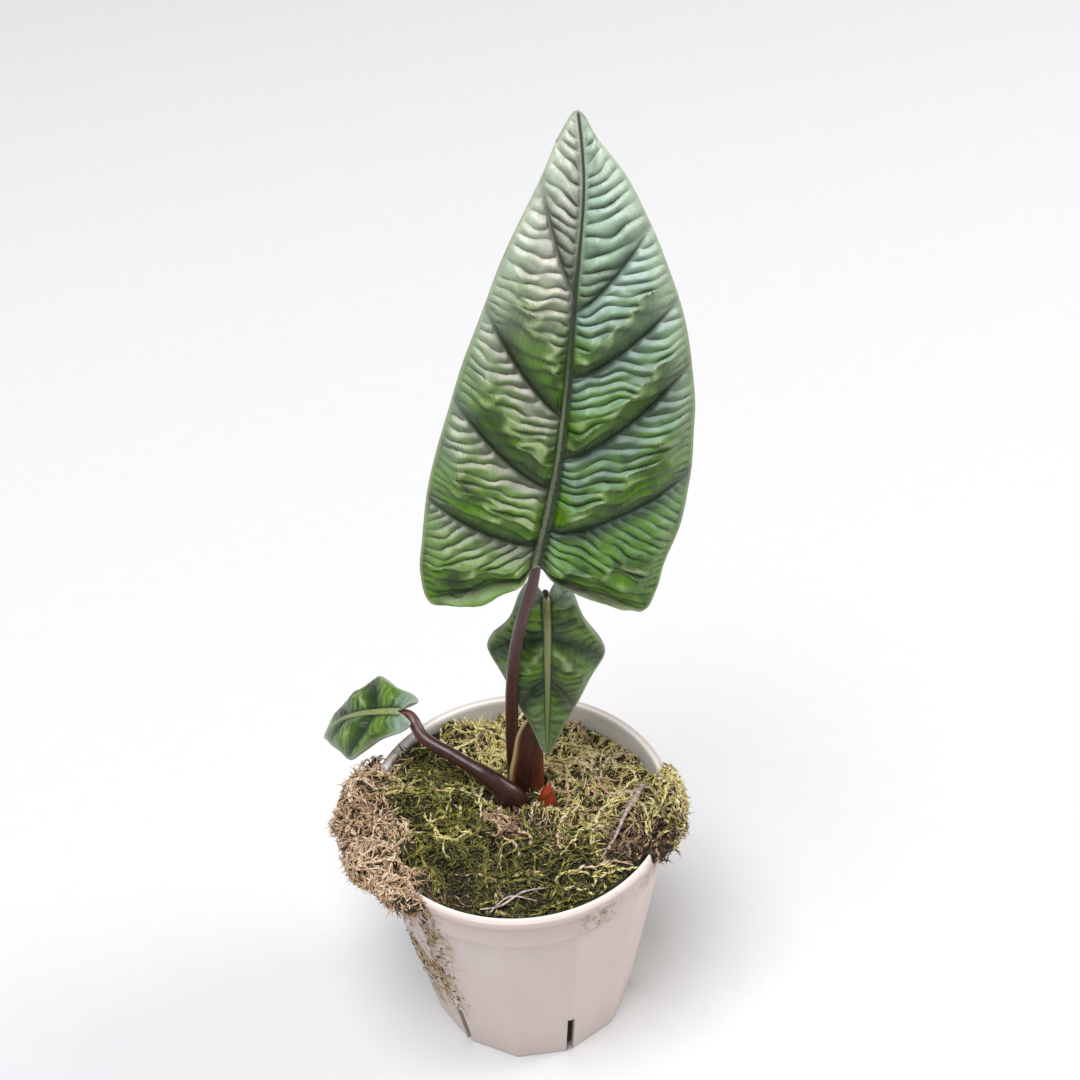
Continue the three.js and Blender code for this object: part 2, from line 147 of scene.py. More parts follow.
def blend(share, first, second):
    """A colour between two colours."""
    return Field.node("ShaderNodeMix", {"data_type": "RGBA"}, {0: share, 6: first, 7: second}, 2)


def painted(name):
    """A number that was stored with each vertex of the mesh."""
    return Field.node("ShaderNodeAttribute", {"attribute_name": name}, {}, "Fac")


def place_in_mm(stretch=(1, 1, 1)):
    """Where a point of the surface is, in millimetres, optionally stretched."""
    place = Field.node("ShaderNodeTexCoord", {}, {}, "Object")
    scaled = tuple(s / MM for s in stretch)
    return Field.node("ShaderNodeVectorMath", {"operation": "MULTIPLY"}, {0: place, 1: scaled})


def mottle(size, where, detail=3.0, rough=0.55, twist=0.0):
    """Soft random patches of about the given size, from 0 to 1."""
    inputs = {"Vector": where, "Scale": 1 / size, "Detail": detail, "Roughness": rough, "Distortion": twist}
    return Field.node("ShaderNodeTexNoise", {}, inputs)


def bumped(height, depth_mm, strength):
    """A normal that is tilted by a height field."""
    inputs = {"Strength": strength, "Distance": depth_mm * MM, "Height": height}
    return Field.node("ShaderNodeBump", {}, inputs)


def new_finish(name):
    """An empty material whose tree the fields that follow are added to."""
    material = bpy.data.materials.new(name)
    material.use_nodes = True
    Field.tree = material.node_tree
    return material


def set_shader(material, **inputs):
    """Feeds the material's shader. Underscores in the names stand for spaces."""
    shader = material.node_tree.nodes["Principled BSDF"]
    for key, value in inputs.items():
        socket = shader.inputs[key.replace("_", " ")]
        if isinstance(value, Field):
            material.node_tree.links.new(value.socket, socket)
        else:
            socket.default_value = value


print("shader helpers ready, for example dark maroon =", [round(v, 3) for v in tint(75, 40, 38)])

# %% [markdown]
# ## The table and the light
# The plant is shown on a plain pale table, under soft studio light. Small lamps would give hard
# spots on the waxy leaf, so two large area lights are used. The upward slopes of the leaf mirror a
# wide cool one overhead as a silvery sheen. A weak warmer one low at the right tells the facets of
# the pot apart, and the pale surroundings fill the rest.

# %% Floor, lights and surroundings
LIGHTS_AIM_AT = Vector((0, 0, 0.12))


def pale_floor():
    mesh = bpy.data.meshes.new("floor")
    half = 5.0
    corners = [(-half, -half, 0), (half, -half, 0), (half, half, 0), (-half, half, 0)]
    mesh.from_pydata(corners, [], [(0, 1, 2, 3)])
    floor = bpy.data.objects.new("floor", mesh)
    scene.collection.objects.link(floor)
    material = new_finish("floor paint")
    grain = mottle(9, place_in_mm())
    set_shader(material, Base_Color=blend(grain, (0.74, 0.74, 0.74, 1), (0.77, 0.77, 0.77, 1)), Roughness=0.9)
    mesh.materials.append(material)


def area_light(name, place, size, power, colour):
    lamp = bpy.data.lights.new(name, "AREA")
    lamp.shape = "DISK"
    lamp.size = size
    lamp.energy = power
    lamp.color = colour
    light = bpy.data.objects.new(name, lamp)
    light.location = place
    light.rotation_euler = (LIGHTS_AIM_AT - Vector(place)).to_track_quat("-Z", "Y").to_euler()
    scene.collection.objects.link(light)


pale_floor()
area_light("overhead", place=(-0.5, -0.7, 3.0), size=2.0, power=104, colour=(0.97, 0.98, 1.0))
area_light("right", place=(2.1, 0.35, 1.3), size=1.2, power=26, colour=(1.0, 0.96, 0.92))
world = bpy.data.worlds.new("pale room")
world.use_nodes = True
world.node_tree.nodes["Background"].inputs["Color"].default_value = (0.93, 0.96, 1.0, 1)
world.node_tree.nodes["Background"].inputs["Strength"].default_value = 0.24
scene.world = world
scene.view_settings.view_transform = "Standard"

# %% [markdown]
# ## Meshes from arrays
# A leaf skin has tens of thousands of points. Python lists would be slow, so points and faces are
# worked out as arrays and passed to Blender in one go. Numbers kept for the finish, such as how far
# a point is from a vein, are stored on the vertices beside them.

# %% From arrays to a piece
def piece_from(name, points, faces, material, painted_values=None, weld=0.0, turn_out=True):
    """A smooth mesh object on the plant. Points are in millimetres, faces rows of 3 or 4 indices.

    Points closer together than weld become one. Then the faces are turned to look outwards.
    """
    mesh = bpy.data.meshes.new(name)
    mesh.vertices.add(len(points))
    mesh.vertices.foreach_set("co", (np.asarray(points) * MM).astype(np.float32).ravel())
    faces = np.asarray(faces, dtype=np.int32)
    mesh.loops.add(faces.size)
    mesh.loops.foreach_set("vertex_index", faces.ravel())
    mesh.polygons.add(len(faces))
    mesh.polygons.foreach_set("loop_start", np.arange(0, faces.size, faces.shape[1], dtype=np.int32))
    mesh.update(calc_edges=True)
    for key, values in (painted_values or {}).items():
        layer = mesh.attributes.new(key, "FLOAT", "POINT")
        layer.data.foreach_set("value", np.asarray(values, dtype=np.float32).ravel())
    if weld:
        shell = bmesh.new()
        shell.from_mesh(mesh)
        bmesh.ops.remove_doubles(shell, verts=shell.verts, dist=weld * MM)
        bmesh.ops.dissolve_degenerate(shell, edges=shell.edges, dist=weld * MM)
        if turn_out:
            bmesh.ops.recalc_face_normals(shell, faces=shell.faces)
        shell.to_mesh(mesh)
        shell.free()
    mesh.polygons.foreach_set("use_smooth", np.ones(len(mesh.polygons), dtype=bool))
    mesh.materials.append(material)
    made = bpy.data.objects.new(name, mesh)
    scene.collection.objects.link(made)
    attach(made, "root")
    print(name, "has", sum(len(p.vertices) - 2 for p in mesh.polygons), "triangles")
    return made


def smooth_step(value, low, high):
    share = np.clip((value - low) / (high - low), 0, 1)
    return share * share * (3 - 2 * share)


def unit(vector):
    vector = np.asarray(vector, dtype=float)
    return vector / np.linalg.norm(vector, axis=-1, keepdims=True)


def ripples(x, y, size, seed, waves=7):
    """Seeded smooth noise over a flat surface, from about -1 to 1: a sum of slanted waves."""
    draw = np.random.default_rng(seed)
    total = np.zeros(np.broadcast(x, y).shape)
    for _ in range(waves):
        heading = draw.uniform(0, 2 * math.pi)
        length = size * draw.uniform(0.7, 1.6)
        turn = 2 * math.pi * (x * math.cos(heading) + y * math.sin(heading)) / length
        total += np.sin(turn + draw.uniform(0, 2 * math.pi))
    return total / math.sqrt(waves) / 1.3


print("a ripple sample:", ripples(np.arange(3.0), np.zeros(3), 5, 1).round(2))

# %% [markdown]
# ## The leaf's outline and its bent plane
# Each leaf is described flat, as in the CAD model: x across, y along the midrib. Rows of points run
# from the midrib to the margin, the way the side veins run, and the flat leaf is then bent. The
# margins could be traced again, but then they would drift from the solids that the physics uses, so
# the same margin points and the same bending are repeated here.

# %% Splines and margins
def spline(points, at):
    """A uniform Catmull-Rom curve through points, read at fractional point numbers."""
    points = np.asarray(points, dtype=float)
    last = len(points) - 1
    cell = np.clip(np.floor(at).astype(int), 0, last - 1)
    t = (at - cell)[..., None]
    here, there = points[cell], points[cell + 1]
    slope_here = (there - points[np.maximum(cell - 1, 0)]) / 2
    slope_there = (points[np.minimum(cell + 2, last)] - here) / 2
    cubic = 2 * here - 2 * there + slope_here + slope_there
    square = 3 * there - 3 * here - 2 * slope_here - slope_there
    return cubic * t ** 3 + square * t ** 2 + slope_here * t + here


class Margin:
    """One side of a leaf: [x, y, m, rib], where m is the place on the midrib that the row starts from."""

    def __init__(self, rows):
        table = np.array(rows, dtype=float)
        self.points = table[:, :2]
        self.last = len(table) - 1
        self.lobe = int(np.argmax(table[:, 2] == 0))
        self.starts = table[:, 2]
        ribs = np.flatnonzero(table[:, 3])
        self.phase_at = np.concatenate([[0], ribs, [self.last]])
        self.ribs = [(float(p), float(table[p, 2])) for p in ribs]

    def number_at(self, m):
        return np.interp(-m, -self.starts[:self.lobe + 1], np.arange(self.lobe + 1))


def length_along(line):
    """How far each point of a line is from its first point, along the line."""
    return np.concatenate([[0], np.cumsum(np.linalg.norm(np.diff(line, axis=0), axis=1))])


def distance_to(x, y, line):
    """The distance from each flat point to a line of points."""
    best = np.full(x.shape, 1e9)
    for start, end in zip(line[:-1], line[1:]):
        along = end - start
        share = ((x - start[0]) * along[0] + (y - start[1]) * along[1]) / max(along @ along, 1e-9)
        share = np.clip(share, 0, 1)
        best = np.minimum(best, np.hypot(x - start[0] - share * along[0], y - start[1] - share * along[1]))
    return best


print("midway between two margin points:", spline([[0, 0], [1, 0], [2, 1]], np.array([0.5])).round(2))

# %% [markdown]
# ## The leaf's quilted skin
# A scalprum leaf is stiff, waxy and deeply quilted. The main side veins lie in sharp furrows, and
# the panels between them swell up. Each panel has a zigzag crest along its middle. Above the crest,
# small ridges run nearly level, and below it finer ribs stand square to the next vein. The midrib is a
# raised band in a furrow of its own. This could be a bump map, but the relief is up to 4 mm deep
# and the sheen depends on it, so it is real geometry, with a bump only for the finest grain.

# %% The blade: rows and bending
LARGE_QUILT = 2.4
SWELL = 1.75


def sheet_normals(points):
    """The direction square to a grid of points at each point, not yet of length 1."""
    return np.cross(np.gradient(points, axis=0), np.gradient(points, axis=1))


class Blade:
    """A flat leaf with its margins, and the way in which it is bent, folded and placed."""

    def __init__(self, joint, pointing, facing, bend, fold, arch, quilt, midrib, left, right):
        self.joint = np.array(joint, dtype=float)
        self.out = unit(pointing)
        self.across = unit(np.cross(self.out, facing))
        self.face = np.cross(self.across, self.out)
        self.fold = np.tan(np.radians(fold))
        self.arch = arch
        self.quilt = quilt
        self.length = midrib[-1][1]
        self.scale = quilt / LARGE_QUILT
        self.large = self.scale > 0.9
        self.rib_half, self.rib_taper = (1.4, 1.15) if self.large else (1.1, 0.5)
        self.sides = [Margin(left), Margin(right)]
        self.rib_line = spline(midrib, np.linspace(0, len(midrib) - 1, 200))
        self.read_bend(bend)

    def read_bend(self, bend):
        """Adds up the tilts, given as [y, degrees], to where each part of the midrib comes to lie."""
        marks = np.array(bend, dtype=float)
        self.grid = np.linspace(-25, self.length + 2, 1500)
        self.tilts = np.radians(np.interp(self.grid, marks[:, 0], marks[:, 1]))
        step = np.diff(self.grid)
        middle = (self.tilts[1:] + self.tilts[:-1]) / 2
        along = np.concatenate([[0], np.cumsum(np.cos(middle) * step)])
        forward = np.concatenate([[0], np.cumsum(np.sin(middle) * step)])
        self.along = along - np.interp(0, self.grid, along)
        self.forward = forward - np.interp(0, self.grid, forward)

    def place(self, x, y, height):
        """Where flat points that stand a given height over the blade come to lie in space."""
        tilt = np.interp(y, self.grid, self.tilts)
        fold = np.where(x < 0, self.fold[0], self.fold[1])
        rise = height - self.arch * x * x - np.abs(x) * fold
        along = np.interp(y, self.grid, self.along) - rise * np.sin(tilt)
        forward = np.interp(y, self.grid, self.forward) + rise * np.cos(tilt)
        parts = (x, self.across), (along, self.out), (forward, self.face)
        return self.joint + sum(amount[..., None] * axis for amount, axis in parts)

    def tilt_of(self, tops, y):
        """How far each point of the skin faces the tip end, from -1 to 1."""
        normal = sheet_normals(tops)
        normal /= np.maximum(np.linalg.norm(normal, axis=-1, keepdims=True), 1e-9)
        normal *= np.where((normal @ self.face) < 0, -1, 1)[..., None]
        bend = np.interp(y, self.grid, self.tilts)
        tipward = np.cos(bend)[..., None] * self.out + np.sin(bend)[..., None] * self.face
        return (normal * tipward).sum(-1)

    def rows(self, side, p, m, shares):
        """Rows of flat points from the midrib to the margin, and how far each row reaches."""
        start = np.stack([np.interp(m, self.rib_line[:, 1], self.rib_line[:, 0]), m], -1)
        end = spline(side.points, p)
        reach = np.linalg.norm(end - start, axis=-1)
        sag = 0.32 * np.clip(end[:, 1] - start[:, 1], 0, 0.3 * reach)
        flat = start[:, None] + (end - start)[:, None] * shares[None, :, None]
        flat[..., 1] -= sag[:, None] * 4 * shares * (1 - shares)
        return flat[..., 0], flat[..., 1], reach

    def stations(self, step):
        """Places on the midrib that both sides' rows start from, at most a step apart at either end."""
        m = np.linspace(self.length, 0, 3000)
        pace = np.abs(np.diff(m))
        for side in self.sides:
            ends = spline(side.points, side.number_at(m))
            pace = np.maximum(pace, np.linalg.norm(np.diff(ends, axis=0), axis=1))
        travelled = np.concatenate([[0], np.cumsum(pace)])
        count = int(travelled[-1] / step)
        return np.interp(np.linspace(0, travelled[-1], count), travelled, m)

    def lobe_numbers(self, side, step):
        """Margin places, a step apart, of the rows that fan out into the lobe from the joint."""
        p = np.linspace(side.lobe, side.last, 800)
        travelled = length_along(spline(side.points, p))
        count = int(travelled[-1] / step)
        return np.interp(np.linspace(0, travelled[-1], count), travelled, p)[1:]


print("the quilting of a large leaf swells by about", round(SWELL * LARGE_QUILT, 1), "mm")

# %% [markdown]
# Two profiles repeat along the leaf. A plain sine would look like corrugated sheet. So a sawtooth
# makes the crests zigzag, and a sine whose lower half is folded up gives rounded ridges with sharp
# furrows between them.

# %% Profiles of crests and ridges
def sawtooth(turns):
    """Climbs from 0 to 1 over most of a turn, then drops back."""
    share = turns - np.floor(turns)
    return smooth_step(np.minimum(share / 0.72, (1 - share) / 0.28), 0, 1)


def furrowed(turns):
    """Rounded ridges with sharp furrows between them, from -0.7 to 0.3."""
    return np.abs(np.sin(math.pi * turns)) ** 0.65 - 0.7


def vein_distances(blade, side, x, y):
    """Distances to the main side veins, and to the faint ones in the lobe and near the tip."""
    lines = []
    for number, m in side.ribs:
        line_x, line_y, _ = blade.rows(side, np.array([number]), np.array([m]), np.linspace(0, 1, 25))
        lines.append(distance_to(x, y, np.stack([line_x[0], line_y[0]], -1)))
    faint = [lines.pop()]
    if len(lines) > 2:
        faint.append(lines.pop(0))
    return np.min(lines, axis=0), np.min(faint, axis=0)


print("furrow profile:", furrowed(np.linspace(0, 1, 5)).round(2))

# %% [markdown]
# The relief is worked out for a whole side at once, in millimetres on a large leaf. A young leaf
# gets the same at a smaller scale. Besides the height, it keeps what the finish needs to know about
# each point: its distance to the nearest vein and to the margin, its place between two veins, the
# ridge that it is on, and its place on the midrib band.

# %% Relief of one side
SKIN_NOTES = (
    "vein", "rim", "between", "crest", "line", "upward", "upper", "lower", "below", "amount", "near", "band",
)
WIDEST_PANEL = 22


class Relief:
    """One side of a leaf: what is known about each of its points, and the height that it gets."""

    def __init__(self, blade, side, p, m, shares, seed, ridge_gap, tip_from):
        self.blade, self.scale, self.seed = blade, blade.scale, seed
        self.ridge_gap, self.tip_from = ridge_gap, tip_from
        self.x, self.y, self.reach = blade.rows(side, p, m, shares)
        self.shares = shares[None, :]
        marks = side.phase_at if len(side.ribs) < 4 else np.delete(side.phase_at, 1)
        self.phase = np.interp(p, marks, np.arange(len(marks)))[:, None]
        self.last_panel = len(marks) - 2
        self.between = self.phase - np.floor(self.phase) + 0 * self.x
        self.tip_panel = (self.phase < 1) + 0 * self.x
        self.near_tip = smooth_step(self.y, tip_from, tip_from + 20)
        self.upward = self.y / blade.length
        self.aside = distance_to(self.x, self.y, blade.rib_line[::5])
        self.aside[:, 0] = 0
        self.near = np.exp(-self.aside / 6)
        self.vein, self.faint = vein_distances(blade, side, self.x, self.y)
        self.rim = distance_to(self.x, self.y, spline(side.points, np.linspace(0, side.last, 220)))
        to_vein = np.maximum(np.minimum(self.between, 1 - self.between), 0.05)
        self.panel_width = np.minimum(self.vein / to_vein, WIDEST_PANEL)

    def noise(self, size, number):
        """Smooth noise over this side. Each number gives a pattern of its own."""
        return ripples(self.x, self.y, size, self.seed + number)

    def count_ridges(self):
        """Numbers the ridges: nearly level ones above the crests, and ribs square to a vein below."""
        slant = 0.5 * self.near_tip * self.tip_panel
        slant = np.maximum(slant, 0.26 * self.scale ** 4)
        slant = np.where(self.phase > self.last_panel - 1, -0.42, slant)
        from_vein = 1.4 * np.exp(-self.between * self.panel_width / 3.2) * (1 - self.tip_panel)
        from_vein = from_vein * smooth_step(self.aside, 2, 6)
        level = self.y - slant * self.aside - from_vein - 1.1 * np.exp(-self.rim / 4)
        heights = np.arange(-40, 160)
        wider_from = [self.tip_from - 5, self.tip_from + 12]
        gaps = np.interp(heights, wider_from, [self.ridge_gap, self.ridge_gap * 1.4])
        warp = 0.42 * self.noise(20, 1) + 0.17 * self.noise(7, 2)
        self.upper = np.interp(level, heights, np.cumsum(1 / gaps)) + warp
        self.lower = self.shares * self.reach[:, None] / (self.ridge_gap * 0.75) + warp

    def swell(self):
        """The quilting: each panel swells up to a crest that zigzags along its middle."""
        crest_at = 0.6 + 0.16 * self.near + 0.08 * self.noise(8, 6)
        crest_at = crest_at - 0.15 * sawtooth(self.upper / 1.9 + 0.4 * self.noise(14, 8))
        self.past_crest = self.between - crest_at
        peak = np.minimum(self.between / crest_at, (1 - self.between) / (1 - crest_at))
        rounded = (4 * self.between * (1 - self.between)) ** 0.55 * (1 - 0.5 * self.tip_panel)
        dome = np.where((self.phase < 1) | (self.phase > self.last_panel), rounded, peak ** 0.85)
        outer = 1 - smooth_step(self.shares, 0.8, 1)
        fullness = 1 + 0.15 * self.noise(12, 0)
        return SWELL * self.blade.quilt * dome * smooth_step(self.aside, 0.4, 5) * outer * fullness

    def ridges(self):
        """The small ridges and ribs, the sharp top of the crest and the finest crinkles."""
        below = smooth_step(self.past_crest, -0.05, 0.04) * smooth_step(self.rim, 2.5, 8)
        self.below = below * (1 - self.tip_panel)
        strength = np.clip(1 + 0.5 * self.noise(8, 3), 0.3, 1.6)
        clear = (1 - np.exp(-((self.vein / 0.8) ** 2))) * smooth_step(self.rim, 0.3, 2.2)
        clear = clear * smooth_step(self.aside, 0.5, 2.0)
        self.amount = np.clip(strength * clear, 0, 1.4)
        upper = furrowed(self.upper) * (1 - self.below) * (0.7 + 0.35 * self.near_tip)
        ridges = (upper + furrowed(self.lower) * self.below * 0.14) * strength * clear
        over = self.past_crest * self.panel_width
        self.crest = np.exp(-((over / 0.8) ** 2)) * clear * (1 - self.tip_panel) * smooth_step(self.rim, 3, 8)
        crinkle = 0.07 * self.noise(2.6, 5) + 0.04 * self.noise(1.5, 7)
        return (1.0 if self.blade.large else 1.35) * ridges + 0.3 * self.crest + crinkle

    def midrib(self):
        """The raised band of the midrib in its furrow, both fading out at the tip."""
        taper = np.clip(1 - self.upward, 0, 1) ** self.blade.rib_taper
        half = np.maximum(0.26, self.blade.rib_half * taper)
        self.band = np.clip(self.aside / half, 0, 4)
        raised = np.sqrt(np.clip(1 - (self.aside / half) ** 2, 0, 1))
        valley = np.exp(-((self.aside / (half + 1.5 * self.scale)) ** 2))
        fading = smooth_step(self.blade.length - self.y, 1, 14)
        return (0.8 * raised * (half / 1.4) - 1.2 * valley * self.scale) * fading

    def vein_cuts(self):
        """The furrows of the side veins. The thin line of each vein is kept for the finish."""
        fading = 0.2 + 0.8 * smooth_step(self.rim, 1, 6)
        beside = smooth_step(self.aside, 0.5, 2)
        cut = -0.6 * self.scale * np.exp(-((self.vein / 0.6) ** 2)) * beside * fading
        cut = cut - 0.45 * self.scale * np.exp(-((self.faint / 0.8) ** 2)) * beside
        line = np.exp(-((self.vein / (0.2 + 0.2 * fading)) ** 2)) * smooth_step(self.rim, 0.4, 3.5)
        line = line + 0.35 * np.exp(-((self.faint / 0.45) ** 2)) * smooth_step(self.rim, 1, 5)
        self.line = np.clip(line, 0, 1)
        return cut

    def height(self):
        """The whole relief. A row too short to hold it, near the tip, gets less of it."""
        self.count_ridges()
        swell = self.swell()
        wave = np.sin(2 * math.pi * self.phase) + self.noise(17, 4)
        wave = 0.55 * self.scale * self.shares ** 3 * wave
        seam = -0.16 * np.exp(-(((self.rim - 1.9) / 0.45) ** 2))
        shore = np.minimum(1, self.reach / 16)[:, None]
        fine = self.ridges() * self.scale
        return (swell + wave + fine + self.vein_cuts() + seam) * shore + self.midrib()


print("numbers kept for the finish:", len(SKIN_NOTES))

# %% [markdown]
# A leaf is one closed shell: the upper face, the back and a narrow rim that joins them. A solidify
# modifier gives an even thickness, but a leaf is thin at its margin and stout beside the midrib, so
# the back is placed point by point too. Its relief is a little weaker.

# %% Both faces and the rim of a leaf
LEAF_THICKNESS = 0.62


def grid_faces(index):
    """Four-sided faces between the points of a grid, from the grid of their numbers."""
    return np.stack([index[:-1, :-1], index[1:, :-1], index[1:, 1:], index[:-1, 1:]], -1).reshape(-1, 4)


def leaf_piece(name, blade, node, material, step, cells, seed, ridge_gap, tip_from):
    """Builds a leaf from rows about a step apart with a number of cells in each."""
    evenly = np.linspace(0, 1, cells + 1)
    shares = 0.5 * evenly + 0.5 * evenly ** 2
    points, faces = [], []
    values = {}
    total = 0
    for right_half, side in enumerate(blade.sides):
        m = blade.stations(step)
        lobes = blade.lobe_numbers(side, step)
        p = np.concatenate([side.number_at(m), lobes])
        m = np.concatenate([m, np.zeros(len(lobes))])
        relief = Relief(blade, side, p, m, shares, seed + 10 * right_half, ridge_gap, tip_from)
        height = relief.height()
        tops = blade.place(relief.x, relief.y, height)
        thin = LEAF_THICKNESS * (0.62 + 0.38 * smooth_step(relief.rim, 0, 3))
        stout = 1.1 * np.exp(-((relief.band / 1.3) ** 2)) * np.clip(1 - relief.upward, 0, 1)
        backs = blade.place(relief.x, relief.y, 0.75 * height - thin - stout * blade.scale)
        count = len(p) * (cells + 1)
        index = np.arange(count).reshape(len(p), cells + 1) + total
        quads = grid_faces(index)
        rim = np.stack([index[:-1, -1], index[1:, -1], index[1:, -1] + count, index[:-1, -1] + count], -1)
        order = slice(None) if (sheet_normals(tops) @ blade.face).sum() > 0 else slice(None, None, -1)
        faces += [part[:, order] for part in (quads, quads[:, ::-1] + count, rim)]
        points += [tops.reshape(-1, 3), backs.reshape(-1, 3)]
        notes = {key: getattr(relief, key) for key in SKIN_NOTES}
        notes["tilt"] = blade.tilt_of(tops, relief.y)
        notes["back"] = np.zeros(height.shape)
        notes["right_half"] = np.full(height.shape, float(right_half))
        for key, value in notes.items():
            under = np.ones(height.shape) if key == "back" else value
            values.setdefault(key, []).extend([value.ravel(), under.ravel()])
        total += 2 * count
    values = {key: np.concatenate(parts) for key, parts in values.items()}
    points, faces = np.concatenate(points), np.concatenate(faces)
    leaf = piece_from(name, points, faces, material, values, weld=0.02, turn_out=False)
    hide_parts(node)
    return leaf


print("a leaf is", LEAF_THICKNESS, "mm thick between its veins")

# %% [markdown]
# ## The leaf's finish
# The skin is deep green with a bright yellow-green in the middle of the lower panels. Painted shade
# darkens it to near black beside the veins, and also on slopes that face down, in the furrows, beside
# the midrib and on the midrib's right side. Towards the tip a painted reflection turns it silver on the
# left half and mint on the right. A painted sheen, the light that the waxy skin mirrors, silvers the
# upper side of each ridge and the upward slopes, with a painted highlight along each crest. Part of the
# silver is real sheen, from a middling roughness and a thin coat, and part is painted by numbers stored
# with the mesh, such as how far a point is along its ridge. They also draw the furrows between the
# mesh's own. The margin is a thin pale band. The back is dull grey-green.

# %% Leaf finish
def leaf_finish(name, deep, bright, pale, pale_from, painted_sheen, hood, ribs):
    """One number sets the strength of the painted sheen and tip reflection, hood that of the painted
    reflection on the lobes. Ribs are three midrib colours, left, right and upper; on the main leaf the
    left one is painted lit and the right one painted shaded.
    """
    material = new_finish(name)
    vein, rim, between, crest, line, upward = map(painted, SKIN_NOTES[:6])
    upper, lower, below, amount, near, band = map(painted, SKIN_NOTES[6:])
    tilt, back, right_half = map(painted, ("tilt", "back", "right_half"))
    upper_wave = (upper * math.pi).math("SINE").math("ABSOLUTE")
    lower_wave = (lower * math.pi).math("SINE").math("ABSOLUTE")
    rung = upper.math("FRACT")
    # Painted shade in the furrows between the small ridges, and a painted highlight on the upper side of each
    # ridge.
    shaded = rung.within(0.34, 0.04) * (1 - below) + 0.2 * lower_wave.within(0.5, 0.05) * below
    furrow_shade = (shaded + rung.within(0.97, 1.0) * (1 - below)) * amount
    lit = rung.within(0.4, 0.92) * (1 - below) * amount
    where = place_in_mm()
    patches = mottle(8, where, 3)
    fine = mottle(0.9, where, 4, 0.6)

    # Bright yellow-green in the middle of the panels and deep green towards the veins: partly the leaf's own
    # colour, partly painted shade in the vein furrows.
    middle = vein.within(0.8, 4.5) * (1 - upward * 0.6)
    colour = blend(middle * patches.within(0.26, 0.56), deep, bright)
    # Painted reflection: towards the tip the skin turns silver on the left half and mint on the right.
    tip_reflection = upward.within(pale_from, 0.95) * (0.74 - 0.1 * right_half + 0.34 * lit) * painted_sheen
    colour = blend(tip_reflection, colour, blend(right_half, pale, tint(196, 220, 204)))
    shade_above = between.within(0.6, 1.0) * vein.within(4.4, 0.2)
    colour = blend(shade_above * 0.6, colour, tint(32, 48, 10))
    # Painted shade on slopes that face down, away from the tip.
    colour = blend(tilt.within(0.0, -0.5) * (0.5 - 0.2 * upward), colour, tint(22, 38, 5))
    colour = blend(furrow_shade * (0.5 + 0.25 * near + 0.04 * upward), colour, tint(24, 42, 10))
    # Painted sheen: the upward slopes and the upper side of each ridge are silvered, in the colour of the
    # light the waxy skin mirrors.
    silver = blend(right_half, tint(236, 230, 216), tint(170, 196, 186))
    slope = between.within(0.62, 0.1)
    sheen_strength = (0.32 - 0.1 * right_half + 1.05 * upward) * painted_sheen
    slope_sheen = (0.5 * tilt.within(0.1, 0.6) + 0.5 * slope) * (0.35 + 0.65 * lit) * sheen_strength
    slope_sheen = slope_sheen * between.within(0.9, 0.45)
    colour = blend(slope_sheen, colour, silver)
    # Painted reflection: lobes that face up are paled to grey-mint.
    colour = blend(upward.within(0.08, -0.06) * hood, colour, tint(150, 172, 160))
    # Painted reflection near the margin, growing towards the tip.
    colour = blend(rim.within(9, 2) * (0.06 + 0.55 * upward) * painted_sheen, colour, tint(196, 214, 186))
    # Painted highlight along the sharp top of each crest.
    colour = blend(crest * 0.55, colour, tint(180, 200, 140))
    # Painted shade in the furrow of each side vein: a thin dark line.
    colour = blend(line * 0.5, colour, tint(30, 38, 24))
    # Painted shade in the furrow on each side of the raised midrib.
    rib_furrow_shade = band.within(2.2, 1.1) * band.within(0.75, 1.1)
    colour = blend(rib_furrow_shade * 0.75, colour, tint(20, 26, 16))
    # The midrib's colours; on the main leaf the left side is painted lit and the right side painted shaded.
    rib_lit_and_shaded = blend(right_half, ribs[0], ribs[1])
    rib_lit_and_shaded = blend(upward.within(0.35, 0.6), rib_lit_and_shaded, ribs[2])
    colour = blend(band.within(1.15, 0.8) * 0.92, colour, rib_lit_and_shaded)
    colour = blend(rim.within(0.9, 0.25) * 0.6, colour, tint(176, 176, 150))
    colour = blend((fine - 0.5) * 0.5 + 0.1, colour, tint(32, 54, 6))
    under = blend(patches, tint(112, 124, 102), tint(134, 122, 114))
    under = blend(line * 0.4, under, tint(150, 150, 126))
    colour = blend(back, colour, under)

    rough = 0.36 + 0.14 * fine + 0.12 * back
    grain = 0.4 * mottle(0.55, where, 3, 0.6) + 0.24 * mottle(1.7, where, 2)
    grain = grain + (upper_wave * (1 - below) + 0.2 * lower_wave * below) * amount * (1 - back)
    set_shader(material, Base_Color=colour, Roughness=rough, Normal=bumped(grain, 0.55, 0.8),
               Coat_Weight=0.08 + 0.42 * upward, Coat_Roughness=0.3, IOR=1.42)
    return material


# The main leaf's midrib colours are a painted lit left side, a painted shaded right side and its upper part.
MAIN_FINISH = leaf_finish(
    "leaf skin", deep=tint(38, 68, 4), bright=tint(90, 138, 0), pale=tint(230, 230, 216),
    pale_from=0.42, painted_sheen=1.0, hood=0.0, ribs=(tint(118, 124, 96), tint(40, 54, 32), tint(44, 52, 42)),
)
YOUNG_FINISH = leaf_finish(
    "young leaf skin", deep=tint(40, 72, 14), bright=tint(110, 152, 12), pale=tint(112, 140, 90),
    pale_from=0.5, painted_sheen=0.25, hood=0.8, ribs=(tint(150, 160, 104), tint(150, 160, 104), tint(130, 146, 86)),
)
print("leaf finishes:", MAIN_FINISH.name, "and", YOUNG_FINISH.name)

# %% [markdown]
# ## The main leaf
# It stands upright with its two lobes beside the stalk. Its two sides differ, so each margin is a
# list of its own: a margin point, the place on the midrib that its row starts from, and a 1 where a
# side vein ends.

